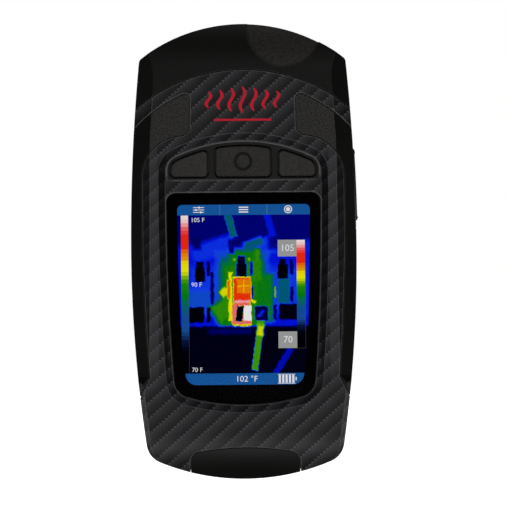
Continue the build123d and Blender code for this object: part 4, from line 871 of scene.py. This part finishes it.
def number(name, text, x, z, size, align):
    """Number on the screen, as a flat mesh; x and z are its anchor."""
    curve = bpy.data.curves.new(name, "FONT")
    curve.body = text
    curve.size = size
    curve.align_x = align
    curve.align_y = "CENTER"
    curve.extrude = LAYER / 2
    curve.resolution_u = 3
    maker = bpy.data.objects.new(name + "_maker", curve)
    bpy.context.collection.objects.link(maker)
    bpy.context.view_layer.update()
    mesh = bpy.data.meshes.new_from_object(maker)
    bpy.data.objects.remove(maker)
    for vertex in mesh.vertices:
        along, up, depth = vertex.co
        vertex.co = (x + along, PRINT_Y - LAYER - depth, z + up)
    mesh.update()
    piece = bpy.data.objects.new(name, mesh)
    bpy.context.collection.objects.link(piece)
    mesh.materials.clear()
    mesh.materials.append(WHITE_PRINT)
    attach(piece, "housing")


# Readings: anchor x, anchor z and size in mm, and alignment.
for name, text, x, z, size, align in (
    ("upper", "105", 11.9, 0.75, 2.6, "CENTER"),
    ("lower", "70", 11.9, -24.3, 2.6, "CENTER"),
    ("scale_top", "105 F", -14.5, 8.6, 1.7, "LEFT"),
    ("scale_middle", "90 F", -14.5, -9.1, 1.7, "LEFT"),
    ("scale_foot", "70 F", -14.5, -32.4, 1.7, "LEFT"),
    ("spot", "102 °F", 0.5, -35.0, 2.3, "CENTER"),
):
    number("number_" + name, text, x * MM, z * MM, size * MM, align)

# Menu icons: sliders, three bars and a shutter ring.
ICON_Z = 11.4 * MM
MENU_ICON_X, FILTER_ICON_X, SHUTTER_ICON_X = 0.0, -12.3 * MM, 12.2 * MM
KNOB_RADIUS = 0.28 * MM
for row, (offset, knob) in enumerate(((-0.65, 0.6), (0.0, -0.7), (0.65, 0.2))):
    z = ICON_Z + offset * MM
    prism(f"menu_icon_bar_{row}", bar_outline(MENU_ICON_X, z, 1.3 * MM, 0.16 * MM), ICON_Y, WHITE_PRINT)
    prism(f"filter_icon_bar_{row}", bar_outline(FILTER_ICON_X, z, 1.5 * MM, 0.1 * MM), ICON_Y, WHITE_PRINT)
    outline = arc((FILTER_ICON_X + knob * MM, z), KNOB_RADIUS, 0, 337.5, 15)
    prism(f"filter_icon_knob_{row}", outline, ICON_Y - LAYER, WHITE_PRINT)


def ring(name, x, z, outer, inner, front_y, finish):
    """Flat ring round a centre, facing the screen side."""
    steps = 40
    last_turn = 360 - 360 / steps
    points, faces = [], []
    for y in (front_y, front_y + LAYER):
        for radius in (inner, outer):
            points += [(px, y, pz) for px, pz in arc((x, z), radius, 0, last_turn, steps - 1)]
    for k in range(steps):
        n = (k + 1) % steps
        faces += [
            (k, n, n + steps, k + steps),
            (k + 2 * steps, k + 3 * steps, n + 3 * steps, n + 2 * steps),
            (k, k + 2 * steps, n + 2 * steps, n),
            (k + steps, n + steps, n + 3 * steps, k + 3 * steps),
        ]
    mesh_piece(name, points, faces, finish)


ring("shutter_icon_ring", SHUTTER_ICON_X, ICON_Z, 1.1 * MM, 0.85 * MM, ICON_Y, WHITE_PRINT)
prism("shutter_icon_dot", arc((SHUTTER_ICON_X, ICON_Z), 0.6 * MM, 0, 345, 23), ICON_Y, WHITE_PRINT)

# Battery sign: five bars in a case with a tip.
SIGN_X, SIGN_Z, SIGN_PITCH = 11.4 * MM, -35.0 * MM, 0.92 * MM
SIGN_HALF_WIDTH, SIGN_HALF_HEIGHT = 2.4 * MM, 1.25 * MM
for bar in range(5):
    outline = bar_outline(SIGN_X + (bar - 2) * SIGN_PITCH, SIGN_Z, 0.3 * MM, 1.1 * MM)
    prism(f"battery_sign_bar_{bar}", outline, ICON_Y, WHITE_PRINT)
for edge, offset in (("top", SIGN_HALF_HEIGHT), ("foot", -SIGN_HALF_HEIGHT)):
    outline = bar_outline(SIGN_X, SIGN_Z + offset, SIGN_HALF_WIDTH, 0.07 * MM)
    prism("battery_sign_" + edge, outline, ICON_Y, WHITE_PRINT)
prism("battery_sign_tip", bar_outline(SIGN_X + 2.6 * MM, SIGN_Z, 0.15 * MM, 0.5 * MM), ICON_Y, WHITE_PRINT)


# ---------------------------------------------------------------- studio
def studio():
    """Pale floor, white surroundings, soft lights and a long-lens camera square to the screen."""
    ambient = 0.035  # what the surroundings add to the light, though the camera sees them white
    world = bpy.data.worlds.new("studio")
    bpy.context.scene.world = world
    world.use_nodes = True
    tree = Tree(world.node_tree)
    background = world.node_tree.nodes["Background"]
    seen = tree.add("ShaderNodeLightPath").outputs["Is Camera Ray"]
    tree.put(background.inputs["Color"], (1.0, 1.0, 1.0, 1.0))
    tree.put(background.inputs["Strength"], tree.math("MULTIPLY_ADD", seen, 1.0 - ambient, ambient))

    # The floor shows white to the camera and reflects the lights softly.
    finish, floor_tree, shader = material("pale_floor", Roughness=0.8, Specular_IOR_Level=0.0)
    tone = floor_tree.noise(floor_tree.place(), 6.0)
    grey, pale_grey = (0.5, 0.5, 0.5, 1.0), (0.55, 0.55, 0.55, 1.0)
    floor_tree.put(shader.inputs["Base Color"], floor_tree.mix(tone, grey, pale_grey))
    seen = floor_tree.add("ShaderNodeLightPath").outputs["Is Camera Ray"]
    floor_tree.put(shader.inputs["Emission Color"], (1.0, 1.0, 1.0, 1.0))
    floor_tree.put(shader.inputs["Emission Strength"], seen)
    reach, floor_z = 3.0, BODY_LOW.z - 12 * MM
    corners = [(x, y, floor_z) for x, y in box_outline(-reach, reach, -reach, reach)]
    mesh = bpy.data.meshes.new("floor")
    mesh.from_pydata(corners, [], [(0, 1, 2, 3)])
    floor = bpy.data.objects.new("floor", mesh)
    bpy.context.collection.objects.link(floor)
    mesh.materials.append(finish)
    floor.visible_shadow = False  # the low light shines up through it

    for name, place, size, power in (
        ("low_front_light", (0.0, -1.06, -0.46), 0.3, 3.5),
        ("high_front_light", (0.1, -1.1, 0.5), 0.5, 1.6),
        ("top_light", (0.1, 0.1, 0.9), 0.6, 1.2),
        ("left_side", (-0.75, 0.55, -0.2), 0.5, 4.0),
        ("right_side", (0.75, 0.55, -0.2), 0.5, 4.0),
        ("left_rim", (-0.42, 0.95, -0.28), 0.3, 1.0),
        ("right_rim", (0.42, 0.95, -0.28), 0.3, 1.0),
        ("rear_light", (0.1, 1.0, 0.45), 0.7, 7.0),
    ):
        data = bpy.data.lights.new(name, "AREA")
        data.size = size
        data.energy = power
        lamp = bpy.data.objects.new(name, data)
        lamp.location = place
        lamp.rotation_euler = (-Vector(place)).to_track_quat("-Z", "Y").to_euler()
        bpy.context.collection.objects.link(lamp)

    frame_height, shift_x, shift_z, roll = 0.1398, 2.5 * MM, -0.5 * MM, math.radians(0.5)
    data = bpy.data.cameras.new("camera")
    data.lens = 300.0
    data.sensor_width = 36.0
    data.clip_end = 20.0
    camera = bpy.data.objects.new("camera", data)
    camera.location = (shift_x, -frame_height * data.lens / data.sensor_width, shift_z)
    camera.rotation_euler = (math.radians(90), roll, 0.0)
    bpy.context.collection.objects.link(camera)
    bpy.context.scene.camera = camera
    bpy.context.scene.view_settings.view_transform = "Standard"


studio()
